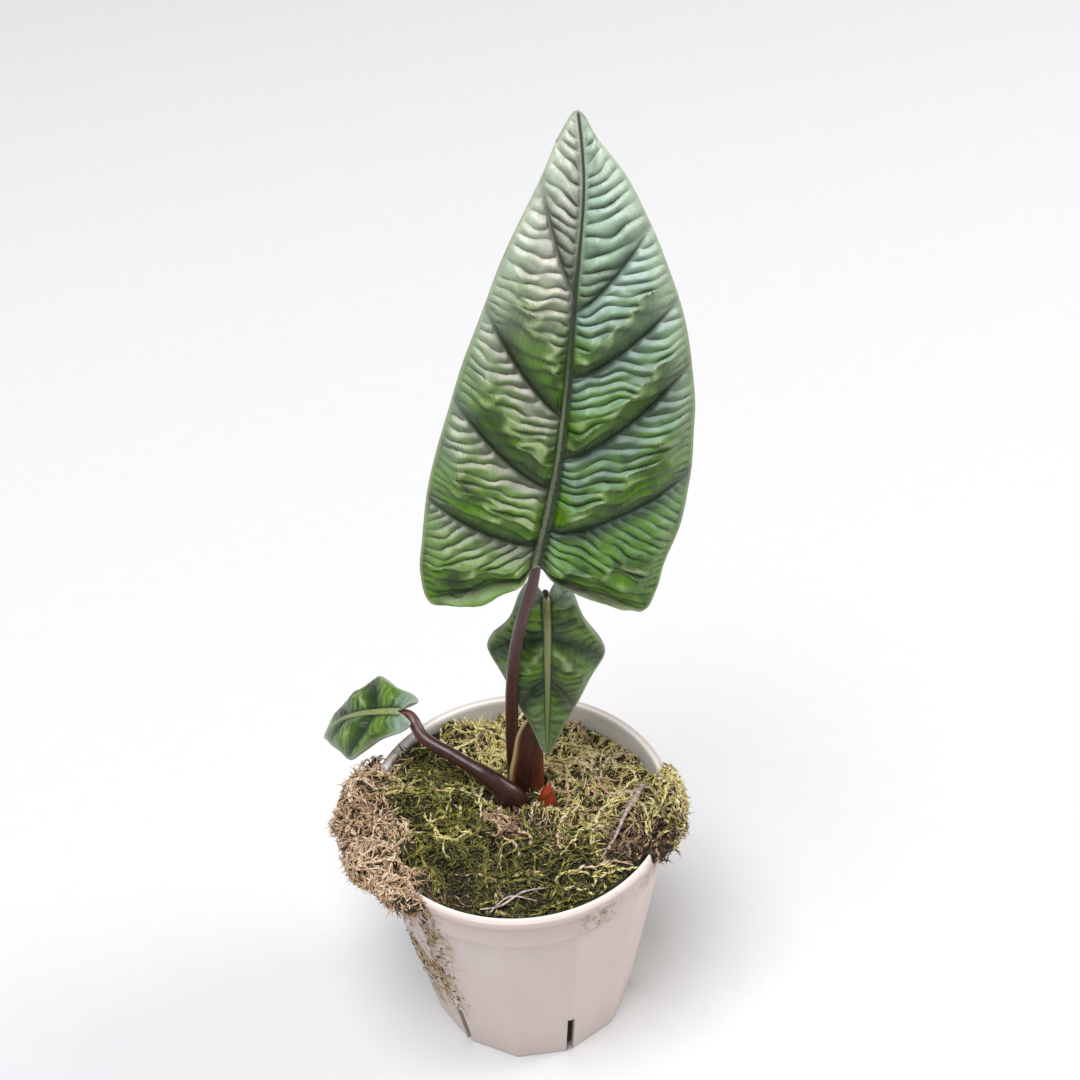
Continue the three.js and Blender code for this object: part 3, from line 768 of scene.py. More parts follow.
# %% Main leaf
MAIN_LEFT = [
    [-0.8, 122.7, 122.7, 0], [-2.4, 121.5, 118, 0], [-5.2, 115.5, 99, 1], [-8.6, 106, 77, 1],
    [-15.3, 89.3, 60, 0], [-20, 73.5, 44.7, 1], [-23.5, 61, 34, 0], [-26.3, 48.5, 23.8, 1],
    [-29.3, 32.9, 15, 0], [-31, 18.5, 7.4, 1], [-31.3, 4, 2.5, 0], [-31.2, -5, 0, 0],
    [-28.6, -14.6, 0, 1], [-23.5, -15.2, 0, 0], [-14.5, -11, 0, 0], [-6, -5.2, 0, 0], [0, 0, 0, 0],
]
MAIN_RIGHT = [
    [-0.8, 122.7, 122.7, 0], [1, 121.4, 117.5, 0], [4.7, 116.3, 97, 1], [12.5, 108, 84, 0],
    [20, 96.3, 72.6, 1], [25, 87, 64, 0], [29.4, 77.8, 55.4, 1], [32.9, 68.4, 43, 0],
    [35, 60.5, 32.5, 1], [37.8, 46, 20, 0], [39.2, 29, 10.8, 1], [38.4, 14, 4, 0], [35.8, 0, 1, 0],
    [35, -9, 0, 0], [32.4, -15.8, 0, 1], [26, -13.4, 0, 0], [15, -7.4, 0, 0], [6, -3.6, 0, 0], [0, 0, 0, 0],
]
FRONT = (0, -1, 0)
LEAN = math.radians(9)
main_blade = Blade(
    joint=(10.1, -5, 182.3), pointing=(math.sin(LEAN), 0, math.cos(LEAN)), facing=FRONT,
    bend=[[-20, -4], [0, -4], [130, -24]], fold=(0, 0), arch=0.0037, quilt=LARGE_QUILT,
    midrib=[[0, 0], [2.7, 34], [2.5, 75], [2.3, 104], [-0.8, 122.7]], left=MAIN_LEFT, right=MAIN_RIGHT,
)
leaf_piece("main_leaf", main_blade, "main_blade", MAIN_FINISH, step=0.52, cells=60, seed=3,
           ridge_gap=2.45, tip_from=74)

# %% [markdown]
# ## The young leaves
# The small leaf hangs tip down with its lobes folded back like a hood. The third one droops over the
# back left of the rim. A young leaf is nearly even on both sides, so both leaves share one half
# outline, mirrored and scaled.

# %% Young leaves
YOUNG_OUTLINE = [
    [0, 58, 58, 0], [1.8, 56.4, 53, 0], [3.7, 51, 44, 0], [8.2, 40.5, 27, 1], [12.2, 31.5, 19, 0],
    [16.4, 23.4, 11, 1], [16.9, 18.6, 6, 0], [14, 11.8, 1.5, 0], [10.4, 5, 0, 0], [7.6, -3.5, 0, 1],
    [4.6, -7.2, 0, 0], [1.8, -4, 0, 0], [0, 0, 0, 0],
]


def young_blade(scale, joint, pointing, facing, bend, fold):
    """A young leaf, its two halves mirrored from the one outline."""

    def half(sign):
        return [[x * scale * sign, y * scale, m * scale, rib] for x, y, m, rib in YOUNG_OUTLINE]

    midrib = [[0, y * scale] for y in (0, 20, 40, 58)]
    return Blade(joint, pointing, facing, bend, fold, arch=0.004, quilt=1.4, midrib=midrib, left=half(-1),
                 right=half(1))


small_blade = young_blade(
    1, joint=(12.6, 8, 159.5), pointing=(-0.05, 0, -1), facing=FRONT,
    bend=[[-10, 78], [0, 48], [14, 4], [58, -4]], fold=(12, 26),
)
third_blade = young_blade(
    0.86, joint=(-35.5, 22.8, 107), pointing=(-0.8, 0.46, -0.36), facing=(-0.2, -0.32, 0.92),
    bend=[[-8, 14], [0, 4], [50, -48]], fold=(10, 10),
)
leaf_piece("small_leaf", small_blade, "small_blade", YOUNG_FINISH, step=0.62, cells=34, seed=40,
           ridge_gap=3.0, tip_from=40)
leaf_piece("third_leaf", third_blade, "third_blade", YOUNG_FINISH, step=0.64, cells=30, seed=70,
           ridge_gap=2.8, tip_from=34)

# %% [markdown]
# ## Stalks
# The stalks are fleshy, round and dark maroon. Each could be a bevelled curve, but a curve's bevel
# can't change from round to oval or carry a twist, so each stalk is swept in rings along the same
# path and with the same half-widths as its solid. A stored number tells the finish how far up a
# point is, and another how far round, so that the streaks run along the stalk.

# %% Paths and swept stalks
def smooth_path(points, count):
    """A centripetal Catmull-Rom curve through points, read at even steps along its length."""
    points = np.array(points, dtype=float)
    padded = np.vstack([2 * points[0] - points[1], points, 2 * points[-1] - points[-2]])
    samples = []
    for a, b, c, d in zip(padded[:-3], padded[1:-2], padded[2:-1], padded[3:]):
        gaps = [max(np.linalg.norm(q - p) ** 0.5, 1e-4) for p, q in ((a, b), (b, c), (c, d))]
        slope_b = (b - a) / gaps[0] - (c - a) / (gaps[0] + gaps[1]) + (c - b) / gaps[1]
        slope_c = (c - b) / gaps[1] - (d - b) / (gaps[1] + gaps[2]) + (d - c) / gaps[2]
        slope_b, slope_c = slope_b * gaps[1], slope_c * gaps[1]
        t = np.linspace(0, 1, 60, endpoint=False)[:, None]
        cubic = 2 * b - 2 * c + slope_b + slope_c
        square = 3 * c - 3 * b - 2 * slope_b - slope_c
        samples.append(cubic * t ** 3 + square * t ** 2 + slope_b * t + b)
    line = np.vstack([*samples, points[-1:]])
    travelled = length_along(line)
    even = np.linspace(0, travelled[-1], count)
    return np.stack([np.interp(even, travelled, line[:, axis]) for axis in range(3)], -1)


def ring_faces(rings, sides):
    """Four-sided faces between rings of points, from each ring to the next and round each ring."""
    index = np.arange(rings * sides).reshape(rings, sides)
    onward = np.roll(index, -1, axis=1)
    return np.stack([index[:-1], onward[:-1], onward[1:], index[1:]], -1).reshape(-1, 4)


def swept(path, wide, deep, sides, texture=None):
    """Rings of points along a path, closed at both ends, with the stage and turn of each point."""
    tangent = unit(np.gradient(path, axis=0))
    side = unit(np.cross(FRONT, tangent))
    outward = np.cross(tangent, side)
    stage = np.linspace(0, 1, len(path))
    turn = np.linspace(0, 1, sides, endpoint=False)
    angle = 2 * math.pi * turn
    bulge = np.ones((len(path), sides)) if texture is None else texture(stage[:, None], turn[None, :])
    radii = np.stack([wide(stage), deep(stage)], -1)
    radii[[0, -1]] = 0
    across = radii[:, :1] * bulge * np.cos(angle)
    forward = radii[:, 1:] * bulge * np.sin(angle)
    rings = path[:, None] + across[..., None] * side[:, None] + forward[..., None] * outward[:, None]
    notes = {"stage": np.repeat(stage, sides), "turn": np.tile(np.abs(2 * turn - 1), len(path))}
    return rings.reshape(-1, 3), ring_faces(len(path), sides), notes


def stops(*pairs):
    """A half-width that goes straight from stop to stop along a stalk."""
    return lambda stage: np.interp(stage, [p[0] for p in pairs], [p[1] for p in pairs])


def seat(blade, y, radius):
    """Where a stalk's end meets the back of the blade beside the joint."""
    rib = 0.1 * blade.quilt + radius * blade.fold.max()
    return blade.place(np.array(0.0), np.array(float(y)), np.array(-0.85 - radius - rib - 0.35))


print("main stalk ends at", seat(main_blade, 2.5, 1.4).round(1))

# %% [markdown]
# The stalk finish is a dark maroon with a satin gloss. Long fine streaks and small pale specks
# break it up, it reddens towards the moss, and it pales to a dusty pink near the blade. Noise in
# space would cut across a bent stalk, so the streaks are noise over the two stored numbers.

# %% Stalk finish
def stalk_finish(name, low, middle, high, streak):
    material = new_finish(name)
    stage, turn = painted("stage"), painted("turn")
    along = Field.node("ShaderNodeCombineXYZ", {}, {0: turn * 9.0, 1: stage * 5.0, 2: 0.3})
    streaks = mottle(0.55, along, 4, 0.6)
    where = place_in_mm()
    specks = mottle(0.5, where, 2, 0.5)
    colour = blend(stage.within(0.0, 0.35), low, middle)
    colour = blend(stage.within(0.6, 1.0), colour, high)
    colour = blend(streaks.within(0.45, 0.75) * 0.6, colour, streak)
    colour = blend(specks.within(0.62, 0.72) * 0.35, colour, tint(150, 110, 96))
    rough = 0.34 + 0.16 * streaks
    set_shader(material, Base_Color=colour, Roughness=rough, Normal=bumped(streaks + 0.3 * specks, 0.12, 0.6),
               Coat_Weight=0.25, Coat_Roughness=0.25)
    return material


MAROON = stalk_finish("maroon stalk", tint(86, 28, 18), tint(68, 26, 20), tint(84, 38, 32), tint(40, 16, 12))
PURPLE = stalk_finish("purple stalk", tint(46, 13, 7), tint(54, 22, 18), tint(104, 58, 56), tint(32, 12, 9))
RUSSET = stalk_finish("russet stalk", tint(122, 50, 18), tint(74, 32, 30), tint(84, 60, 48), tint(50, 20, 16))
print("stalk finishes:", [finish.name for finish in (MAROON, PURPLE, RUSSET)])

# %% [markdown]
# Each stalk is a row of the same table: the CAD node that it replaces, its finish, its path, its
# half-width from side to side, and its half-depth where that differs. The small and the third stalk
# swell at the foot, where they wrap the next leaf.

# %% Main, small and third stalks
STEM_BASE = 76.35
STALKS = {
    "main_stalk": ("main_petiole", MAROON, [
        [-0.8, 10.8, STEM_BASE], [-0.9, 10.2, 84], [-0.6, 7.6, 98], [0.2, 3.6, 122], [2, 0.2, 145],
        [5.2, -1.9, 162], seat(main_blade, -6, 1.7), seat(main_blade, 2.5, 1.4),
    ], stops((0, 2.1), (0.2, 2), (0.9, 1.7), (0.97, 1.4), (1, 1)), None),
    "small_stalk": ("small_petiole", RUSSET, [
        [5.6, 8.8, STEM_BASE], [5, 8.6, 84], [5.3, 8.4, 95], [7.4, 9.8, 112], [10.6, 13, 132],
        [12.6, 14.6, 148], seat(small_blade, -3, 1), seat(small_blade, 2.5, 0.9),
    ], stops((0, 3.2), (0.1, 3.7), (0.24, 3.3), (0.42, 1.6), (0.9, 1.1), (1, 0.7)),
        stops((0, 2.7), (0.1, 2.7), (0.24, 2.4), (0.42, 1.4), (0.9, 1.1), (1, 0.7))),
    "third_stalk": ("third_petiole", PURPLE, [
        [-0.6, 1.6, STEM_BASE], [-0.9, 1.5, 81], [-3.9, 2.2, 88.5], [-9.7, 4.6, 94], [-19.9, 10.5, 98.5],
        [-28, 16.4, 101], seat(third_blade, -3, 1.6), seat(third_blade, 3, 1.2),
    ], stops((0, 4.6), (0.08, 5.4), (0.25, 3.6), (0.45, 2.2), (0.85, 1.9), (0.95, 1.5), (1, 1)),
        stops((0, 3.4), (0.08, 3.9), (0.25, 3.3), (0.45, 2.1), (0.85, 1.9), (0.95, 1.5), (1, 1))),
}


def fluted(stage, turn):
    """Faint lengthwise ribs and a slow unevenness, as on a fleshy stalk."""
    ribs = 0.012 * np.cos(2 * math.pi * 11 * turn)
    return 1 + ribs + 0.02 * np.sin(31 * stage + 4 * turn) + 0.015 * np.sin(67 * stage)


for stalk_name, (node, finish, path, wide, deep) in STALKS.items():
    line = smooth_path(path, count=170)
    points, faces, notes = swept(line, wide, deep or wide, sides=36, texture=fluted)
    stalk = piece_from(stalk_name, points, faces, finish, notes, weld=0.005)
    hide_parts(node)

# %% [markdown]
# ## The sheath
# The foot of the small stalk opens into a sheath that wraps the main stalk. Its free edge is a thin
# cream membrane. Cloth physics could wrap it, but its two edges can be seen, so the sheath is a
# sheet between two curves that bulges forward and has a thickness.

# %% Sheath
def sheath_finish():
    material = new_finish("sheath")
    edge = painted("edge")
    where = place_in_mm((1, 1, 0.2))
    streaks = mottle(0.8, where, 4)
    colour = blend(streaks.within(0.35, 0.7), tint(44, 14, 12), tint(80, 31, 21))
    colour = blend(edge.within(2.2, 1.2) * 0.75, colour, tint(150, 92, 60))
    colour = blend(edge.within(1.25, 0.75) * 0.9, colour, tint(200, 182, 132))
    set_shader(material, Base_Color=colour, Roughness=0.42 + 0.15 * streaks, Normal=bumped(streaks, 0.1, 0.6),
               Coat_Weight=0.2, Coat_Roughness=0.3)
    return material


def sheet_between(name, free_edge, fixed_edge, bulge, thickness, material):
    """A thin closed sheet between two curves. Each point keeps its distance to the free edges."""
    rows, columns = 60, 26
    left, right_side = smooth_path(free_edge, rows), smooth_path(fixed_edge, rows)
    share = np.linspace(0, 1, columns)
    outer = left[:, None] * (1 - share)[None, :, None] + right_side[:, None] * share[None, :, None]
    outer = outer + np.array(bulge) * (4 * share * (1 - share))[None, :, None]
    normal = unit(sheet_normals(outer) + 1e-9)
    normal = normal * np.sign(normal[..., 1:2] + 1e-9)
    thin = thickness * (0.35 + 0.65 * smooth_step(share, 0, 0.2))[None, :, None]
    inner = outer + normal * thin
    count = rows * columns
    index = np.arange(count).reshape(rows, columns)
    quads = grid_faces(index)
    border = np.concatenate([index[0], index[1:, -1], index[-1, -2::-1], index[-2:0:-1, 0]])
    after = np.roll(border, -1)
    wall = np.stack([border, after, after + count, border + count], -1)
    span = np.linalg.norm(left - right_side, axis=1)[:, None] * share[None, :]
    from_top = np.linalg.norm(outer - outer[-1:], axis=-1)
    edge = np.minimum(span, from_top).ravel()
    points = np.concatenate([outer.reshape(-1, 3), inner.reshape(-1, 3)])
    faces = np.concatenate([quads, quads[:, ::-1] + count, wall])
    piece_from(name, points, faces, material, {"edge": np.tile(edge, 2)}, weld=0.01)


sheet_between(
    "sheath",
    free_edge=[
        [-2.6, 6.0, 84], [-2.2, 5.2, 93], [-0.7, 4.6, 101.2], [0.9, 3.9, 110.2], [2.8, 4.4, 114.2],
        [5.4, 6.4, 116.2],
    ],
    fixed_edge=[
        [5.0, 5.6, 84], [5.2, 5.6, 93], [5.9, 6.1, 101], [6.8, 7.6, 109], [7.2, 8.2, 113], [7.6, 8.8, 116.6],
    ],
    bulge=(0, -1.1, 0), thickness=0.5, material=sheath_finish(),
)

# %% [markdown]
# ## The new shoot
# A new shoot, a tightly rolled orange spear, stands in front of the stalks. A plain cone would look
# like a thorn. It is swept like a stalk, with a seam that winds up it in a spiral, because that one
# line shows that it is a rolled leaf.

# %% New shoot
SPIRAL = 1.6
SHOOT_RINGS = 90
SHOOT_SIDES = 48


def shoot_finish():
    material = new_finish("new shoot")
    stage, seam = painted("stage"), painted("seam")
    where = place_in_mm((1, 1, 0.3))
    streaks = mottle(0.7, where, 4)
    colour = blend(stage.within(0.35, 0.95), tint(110, 36, 14), tint(150, 58, 20))
    colour = blend(streaks.within(0.4, 0.7) * 0.6, colour, tint(150, 40, 10))
    # Painted shade: a dark line beside the step where the outer scale laps over.
    colour = blend(seam.within(0.1, 0.02) * 0.8, colour, tint(70, 20, 8))
    set_shader(material, Base_Color=colour, Roughness=0.4, Normal=bumped(streaks, 0.1, 0.6), Coat_Weight=0.4,
               Coat_Roughness=0.22)
    return material


def rolled(stage, turn):
    """A spiral step round the spear, where the outer scale laps over."""
    lap = (turn - SPIRAL * stage) % 1.0
    return 0.94 + 0.1 * lap


shoot_line = smooth_path([[9.4, 0.6, STEM_BASE], [9.2, 0.2, 81], [9, 0.4, 86], [9.3, 1.2, 91.5]], SHOOT_RINGS)
shoot_girth = stops((0, 1.9), (0.4, 2.6), (0.6, 2.6), (0.82, 1.8), (0.97, 0.6), (1, 0.2))
points, faces, notes = swept(shoot_line, shoot_girth, shoot_girth, SHOOT_SIDES, texture=rolled)
turns = np.tile(np.linspace(0, 1, SHOOT_SIDES, endpoint=False), SHOOT_RINGS)
notes["seam"] = (turns - SPIRAL * notes["stage"]) % 1.0
shoot = piece_from("shoot", points, faces, shoot_finish(), notes, weld=0.005)
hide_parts("new_shoot")

# %% [markdown]
# ## The pot
# The pot is a thin injection-moulded nursery pot: a bright lip, a smooth band, then twelve flat
# facets that taper to the base, with six drain slots. Subdividing the CAD mesh would melt its
# creases, so the wall is turned again with many more points, and a formula draws the facets in.

# %% Pot wall
POT_HEIGHT = 86
BAND_BOTTOM = 73
WALL_THICKNESS = 1.5
LIP_RADIUS = 47.5
FIRST_CORNER = math.radians(-42.5)
FACETS = 12
POT_SEGMENTS = 192


def around(angle, radius, height):
    """A point by its angle from the front, positive to the right."""
    return np.stack([radius * np.sin(angle), -radius * np.cos(angle), height + 0 * angle], -1)


def wall_radius(z):
    """The outer radius of the pot's corners at a height."""
    return np.interp(z, [0, 72, 73, 83.4], [33, 45.1, 45.3, 46.3])


def facet_shape(angle):
    """How far the flat of a facet lies inside the round, with the corners barely rounded."""
    step = 2 * math.pi / FACETS
    past = (angle - FIRST_CORNER) % step - step / 2
    return np.minimum(math.cos(step / 2) / np.cos(past), 0.9988)


def pot_profile():
    """Radius, height and facet share of each ring, from the middle of the base round to the inside."""
    rows = [(r, 0, 1) for r in np.linspace(0, 32.6, 12)]
    rows += [(32.88, 0.12, 1), (33.0, 0.4, 1)]
    rows += [(float(wall_radius(z)), z, 1) for z in np.linspace(1, 71.6, 40)]
    rows += [(45.1, 72.0, 1), (45.14, 72.2, 0.85), (45.2, 72.45, 0.35), (45.26, 72.7, 0.08)]
    rows += [(45.3, BAND_BOTTOM, 0)]
    rows += [(float(wall_radius(z)), z, 0) for z in np.linspace(74, 83, 10)]
    rows += [(46.34, 83.3, 0), (46.6, 83.42, 0), (47.2, 83.45, 0), (47.42, 83.55, 0)]
    rows += [(LIP_RADIUS, z, 0) for z in (83.8, 84.6, 85.4)]
    rows += [(47.42, 85.7, 0), (47.2, 85.92, 0), (46.9, POT_HEIGHT, 0)]
    rows += [(45.6, POT_HEIGHT, 0), (45.2, 85.9, 0), (45.0, 85.6, 0), (44.85, 85, 0)]
    rows += [(float(wall_radius(z)) - WALL_THICKNESS, z, 0) for z in np.linspace(84, 73.4, 8)]
    rows += [(float(wall_radius(z)) - WALL_THICKNESS, z, 1) for z in np.linspace(71.8, 3, 16)]
    rows += [(r, 1.8, 1) for r in (31.4, 24, 16, 8, 0)]
    return np.array(rows, dtype=float)


def turned_pot(profile):
    """The points of the pot: each ring of the profile, brought in to the facets by its share of them."""
    angle = FIRST_CORNER + np.linspace(0, 2 * math.pi, POT_SEGMENTS, endpoint=False)
    flat = facet_shape(angle)[None, :]
    radius = profile[:, :1] * (1 + profile[:, 2:] * (flat - 1))
    return around(angle[None, :], radius, profile[:, 1:2]).reshape(-1, 3)


PROFILE = pot_profile()
print("pot rings:", len(PROFILE))

# %% [markdown]
# The plastic is a warm white with a satin gloss. Moss water has dried on it: brown smears run down
# the front left corner and sit under the lip at the right, and the wall is a little darker towards
# the base. The inside is painted a lighter white, painted light on its shaded wall. An image could
# hold the stains, but here a stored number says where dirt may be, and noise breaks it into smears.

# %% Pot finish
def plastic_finish():
    material = new_finish("pot plastic")
    smear, height, inside = painted("smear"), painted("height"), painted("inside")
    where = place_in_mm()
    run = mottle(5, place_in_mm((1, 1, 0.35)), 5, 0.65, 0.6)
    blotch = mottle(2.4, where, 5, 0.7)
    mould = mottle(30, where, 2)
    colour = blend(mould, tint(210, 192, 185), tint(221, 205, 198))
    # Painted light: the inside wall is painted a lighter white than the outside, where it lies in shade.
    colour = blend(inside * 0.85, colour, tint(244, 242, 236))
    # The wall is a little darker towards the base.
    colour = blend(height.within(30, 0) * 0.12, colour, tint(170, 160, 148))
    stain = smear * run.within(0.4, 0.56)
    colour = blend(stain * 0.75, colour, tint(172, 144, 104))
    crust = smear * blotch.within(0.46, 0.6)
    colour = blend(crust * 0.8, colour, tint(112, 88, 54))
    specks = mottle(1.1, where, 2, 0.5).within(0.7, 0.76)
    colour = blend(specks * 0.35, colour, tint(150, 138, 120))
    grain = mottle(0.35, where, 2)
    set_shader(material, Base_Color=colour, Roughness=0.4 + 0.06 * grain + 0.4 * crust,
               Normal=bumped(grain * 0.25 + crust * 2.0, 0.25, 0.5), Coat_Weight=0.12, Coat_Roughness=0.2)
    return material


def smear_amount(points):
    """How likely dirt is at a point of the wall, from 0 to 1."""
    angle = np.degrees(np.arctan2(points[:, 0], -points[:, 1]))
    z = points[:, 2]

    def patch(at, wide, low, high, amount):
        level = smooth_step(z, low - 4, low + 4) * (1 - smooth_step(z, high - 4, high + 6))
        return amount * np.exp(-(((angle - at) / wide) ** 2)) * level

    total = patch(-43, 7, 48, 84, 1.0) + patch(-46, 7, 16, 46, 1.0) + patch(-66, 13, 10, 40, 0.9)
    total += patch(-78, 22, 40, 84, 0.7) + patch(27, 7, 72, 83, 0.75) + patch(60, 18, 74, 84, 0.5)
    return np.clip(total, 0, 1)


POT_PLASTIC = plastic_finish()
print("dirt on the first corner:", smear_amount(around(FIRST_CORNER, 40.0, 60.0)[None]).round(2))

# %% [markdown]
# The drain slots stand at every second corner and run up from the base. They could be left out of
# the rings of the wall, but then every ring would need gaps, so six thin boxes are cut out with an
# exact boolean.

# %% Drain slots
SLOTS = 6
SLOT_HALF_WIDTH = 1.2
SLOT_TOP = 21


def slot_cutter():
    """Six boxes in one mesh, reaching in from the corners through wall and base edge."""
    points, faces = [], []
    for number in range(SLOTS):
        angle = FIRST_CORNER + number * 2 * math.pi / SLOTS
        outward = np.array([math.sin(angle), -math.cos(angle), 0])
        sideways = np.array([math.cos(angle), math.sin(angle), 0])
        start = len(points)
        for r in (24, 50):
            for s in (-SLOT_HALF_WIDTH, SLOT_HALF_WIDTH):
                points += [outward * r + sideways * s + np.array([0, 0, z]) for z in (-1, SLOT_TOP)]
        box = [(0, 1, 3, 2), (4, 6, 7, 5), (0, 4, 5, 1), (2, 3, 7, 6), (0, 2, 6, 4), (1, 5, 7, 3)]
        faces += [tuple(start + i for i in face) for face in box]
    mesh = bpy.data.meshes.new("slot cutter")
    mesh.from_pydata([Vector(p) * MM for p in points], [], faces)
    cutter = bpy.data.objects.new("slot cutter", mesh)
    scene.collection.objects.link(cutter)
    return cutter


def apply_modifiers(piece):
    """Bakes an object's modifiers into its mesh and removes them."""
    bpy.context.view_layer.update()
    baked = bpy.data.meshes.new_from_object(piece.evaluated_get(bpy.context.evaluated_depsgraph_get()))
    piece.modifiers.clear()
    piece.data = baked


points = turned_pot(PROFILE)
inside = np.repeat(np.arange(len(PROFILE)) > PROFILE[:, 1].argmax(), POT_SEGMENTS).astype(float)
notes = {"smear": smear_amount(points) * (1 - inside), "height": points[:, 2], "inside": inside}
faces = ring_faces(len(PROFILE), POT_SEGMENTS)
pot = piece_from("nursery_pot", points, faces, POT_PLASTIC, notes, weld=0.01)
cutter = slot_cutter()
cut = pot.modifiers.new("slots", "BOOLEAN")
cut.operation = "DIFFERENCE"
cut.solver = "EXACT"
cut.object = cutter
apply_modifiers(pot)
bpy.data.objects.remove(cutter)
pot.data.set_sharp_from_angle(angle=math.radians(40))
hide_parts("pot")
print("pot after cutting:", len(pot.data.polygons), "faces")

# %% [markdown]
# ## The bed of moss
# Under the fibres lies the mass of packed moss, its near-black partly its own colour and partly
# painted shade for the gaps between the strands. It is a copy of the CAD solid, so that it fills
# the pot and leaves the stalks their holes. A voxel remesh gives it even small faces, and noise
# roughens the part that shows.

# %% Moss bed
SHOWS_FROM = 76


def ripples_in_space(points, size, seed, waves=10):
    """Seeded smooth noise through space, from about -1 to 1."""
    draw = np.random.default_rng(seed)
    total = np.zeros(len(points))
    for _ in range(waves):
        heading = unit(draw.normal(size=3))
        length = size * draw.uniform(0.7, 1.6)
        total += np.sin(2 * math.pi * (points @ heading) / length + draw.uniform(0, 2 * math.pi))
    return total / math.sqrt(waves) / 1.2


def bed_finish():
    material = new_finish("packed moss")
    where = place_in_mm()
    lumps = mottle(3, where, 6, 0.7)
    # The near-black of the bed is partly the packed moss's own colour and partly painted shade for the gaps
    # between the strands.
    colour = blend(lumps.within(0.35, 0.65), tint(26, 24, 12), tint(66, 58, 30))
    set_shader(material, Base_Color=colour, Roughness=0.95, Normal=bumped(lumps, 1.2, 0.9))
    return material


def coordinates(mesh):
    """The points of a mesh as an array, in millimetres."""
    flat = np.empty(len(mesh.vertices) * 3, dtype=np.float32)
    mesh.vertices.foreach_get("co", flat)
    return flat.reshape(-1, 3).astype(float) / MM


def search_tree(points, mesh):
    """A tree that finds the nearest or the first hit point of a surface, in millimetres."""
    return BVHTree.FromPolygons([Vector(p) for p in points], [tuple(f.vertices) for f in mesh.polygons])


def clump_at(points):
    """The lumps of the moss: about 1 on a hummock and -1 in a hollow."""
    return ripples_in_space(points, 10, 21)


bed = bpy.data.objects.new("moss_bed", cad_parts["moss"].data.copy())
scene.collection.objects.link(bed)
remesh = bed.modifiers.new("even faces", "REMESH")
remesh.mode = "VOXEL"
remesh.voxel_size = 1.2 * MM
apply_modifiers(bed)
bed_points = coordinates(bed.data)
showing = smooth_step(bed_points[:, 2], SHOWS_FROM, 80)
roughness = 1.7 * clump_at(bed_points) + 0.5 * ripples_in_space(bed_points, 4, 22)
bed_points[:, 2] += showing * (roughness - 1.0)
bed.data.vertices.foreach_set("co", (bed_points * MM).astype(np.float32).ravel())
bed.data.polygons.foreach_set("use_smooth", np.ones(len(bed.data.polygons), dtype=bool))
bed.data.materials.clear()
bed.data.materials.append(bed_finish())
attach(bed, "root")
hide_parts("moss")
bed_tree = search_tree(bed_points, bed.data)
print("moss bed:", len(bed.data.polygons), "faces")

# %% [markdown]
# ## Moss strands
# Dead sphagnum is a tangle of limp strands with short curled leaves all round, and dark gaps in
# between. Hair would look right, but particles and curves don't survive the export, so each strand
# is a thin three-sided core that creeps over the bed, and each of its leaves is a small closed
# spindle of 18 triangles. Loose curled scraps fill the gaps. All of them are made as arrays.

# %% Spindles and cores
SPINDLE_RINGS = 3


def spindles(roots, headings, bends, lengths, widths, flatness):
    """Curved closed spindles: their points, the triangles of one, and the stage of each of its points."""
    rings = SPINDLE_RINGS
    stage = np.linspace(0, 1, rings + 2)
    along = headings[:, None] * stage[None, :, None] + 0.5 * bends[:, None] * (stage ** 2)[None, :, None]
    stretch = np.maximum(1, np.linalg.norm(headings + 0.5 * bends, axis=1))
    line = roots[:, None] + along * (lengths / stretch)[:, None, None]
    tangent = unit(headings[:, None] + bends[:, None] * stage[None, :, None])
    side = unit(np.cross(tangent, unit(bends + 1e-6)[:, None]) + 1e-9)
    other = np.cross(tangent, side)
    taper = np.sin(math.pi * (0.16 + 0.74 * stage[1:-1])) ** 0.7
    angle = 2 * math.pi * np.arange(3) / 3
    reach = (widths[:, None] * taper)[..., None]
    ring = line[:, 1:-1, None] + (reach * np.cos(angle))[..., None] * side[:, 1:-1, None]
    ring = ring + (reach * flatness * np.sin(angle))[..., None] * other[:, 1:-1, None]
    points = np.concatenate([line[:, :1], ring.reshape(len(roots), -1, 3), line[:, -1:]], axis=1)
    faces = []
    for k in range(3):
        n = (k + 1) % 3
        faces.append((0, 1 + n, 1 + k))
        faces.append((rings * 3 + 1, 1 + 3 * (rings - 1) + k, 1 + 3 * (rings - 1) + n))
        for a in range(1, 3 * rings - 2, 3):
            faces += [(a + k, a + n, a + n + 3), (a + k, a + n + 3, a + k + 3)]
    return points, np.array(faces), np.concatenate([[0], np.repeat(stage[1:-1], 3), [1]])


def cores(lines, ups, radius):
    """Three-sided rods along lines of points, closed at both ends."""
    count, steps = lines.shape[:2]
    tangent = unit(np.gradient(lines, axis=1))
    side = unit(np.cross(tangent, ups) + 1e-9)
    other = np.cross(side, tangent)
    width = radius * (0.3 + 0.7 * np.sin(math.pi * np.linspace(0.04, 0.96, steps)) ** 0.5)
    angle = 2 * math.pi * np.arange(3) / 3
    spread = np.cos(angle)[:, None] * side[:, :, None] + np.sin(angle)[:, None] * other[:, :, None]
    points = lines[:, :, None] + width[None, :, None, None] * spread
    last = 3 * steps - 3
    faces = [(0, 1, 2), (last, last + 2, last + 1)]
    for a in range(0, last, 3):
        for k in range(3):
            n = (k + 1) % 3
            faces += [(a + k, a + k + 3, a + n + 3), (a + k, a + n + 3, a + n)]
    return points.reshape(count, -1, 3), np.array(faces), np.full(3 * steps, 0.4)


print("triangles of one spindle:", 6 * SPINDLE_RINGS)
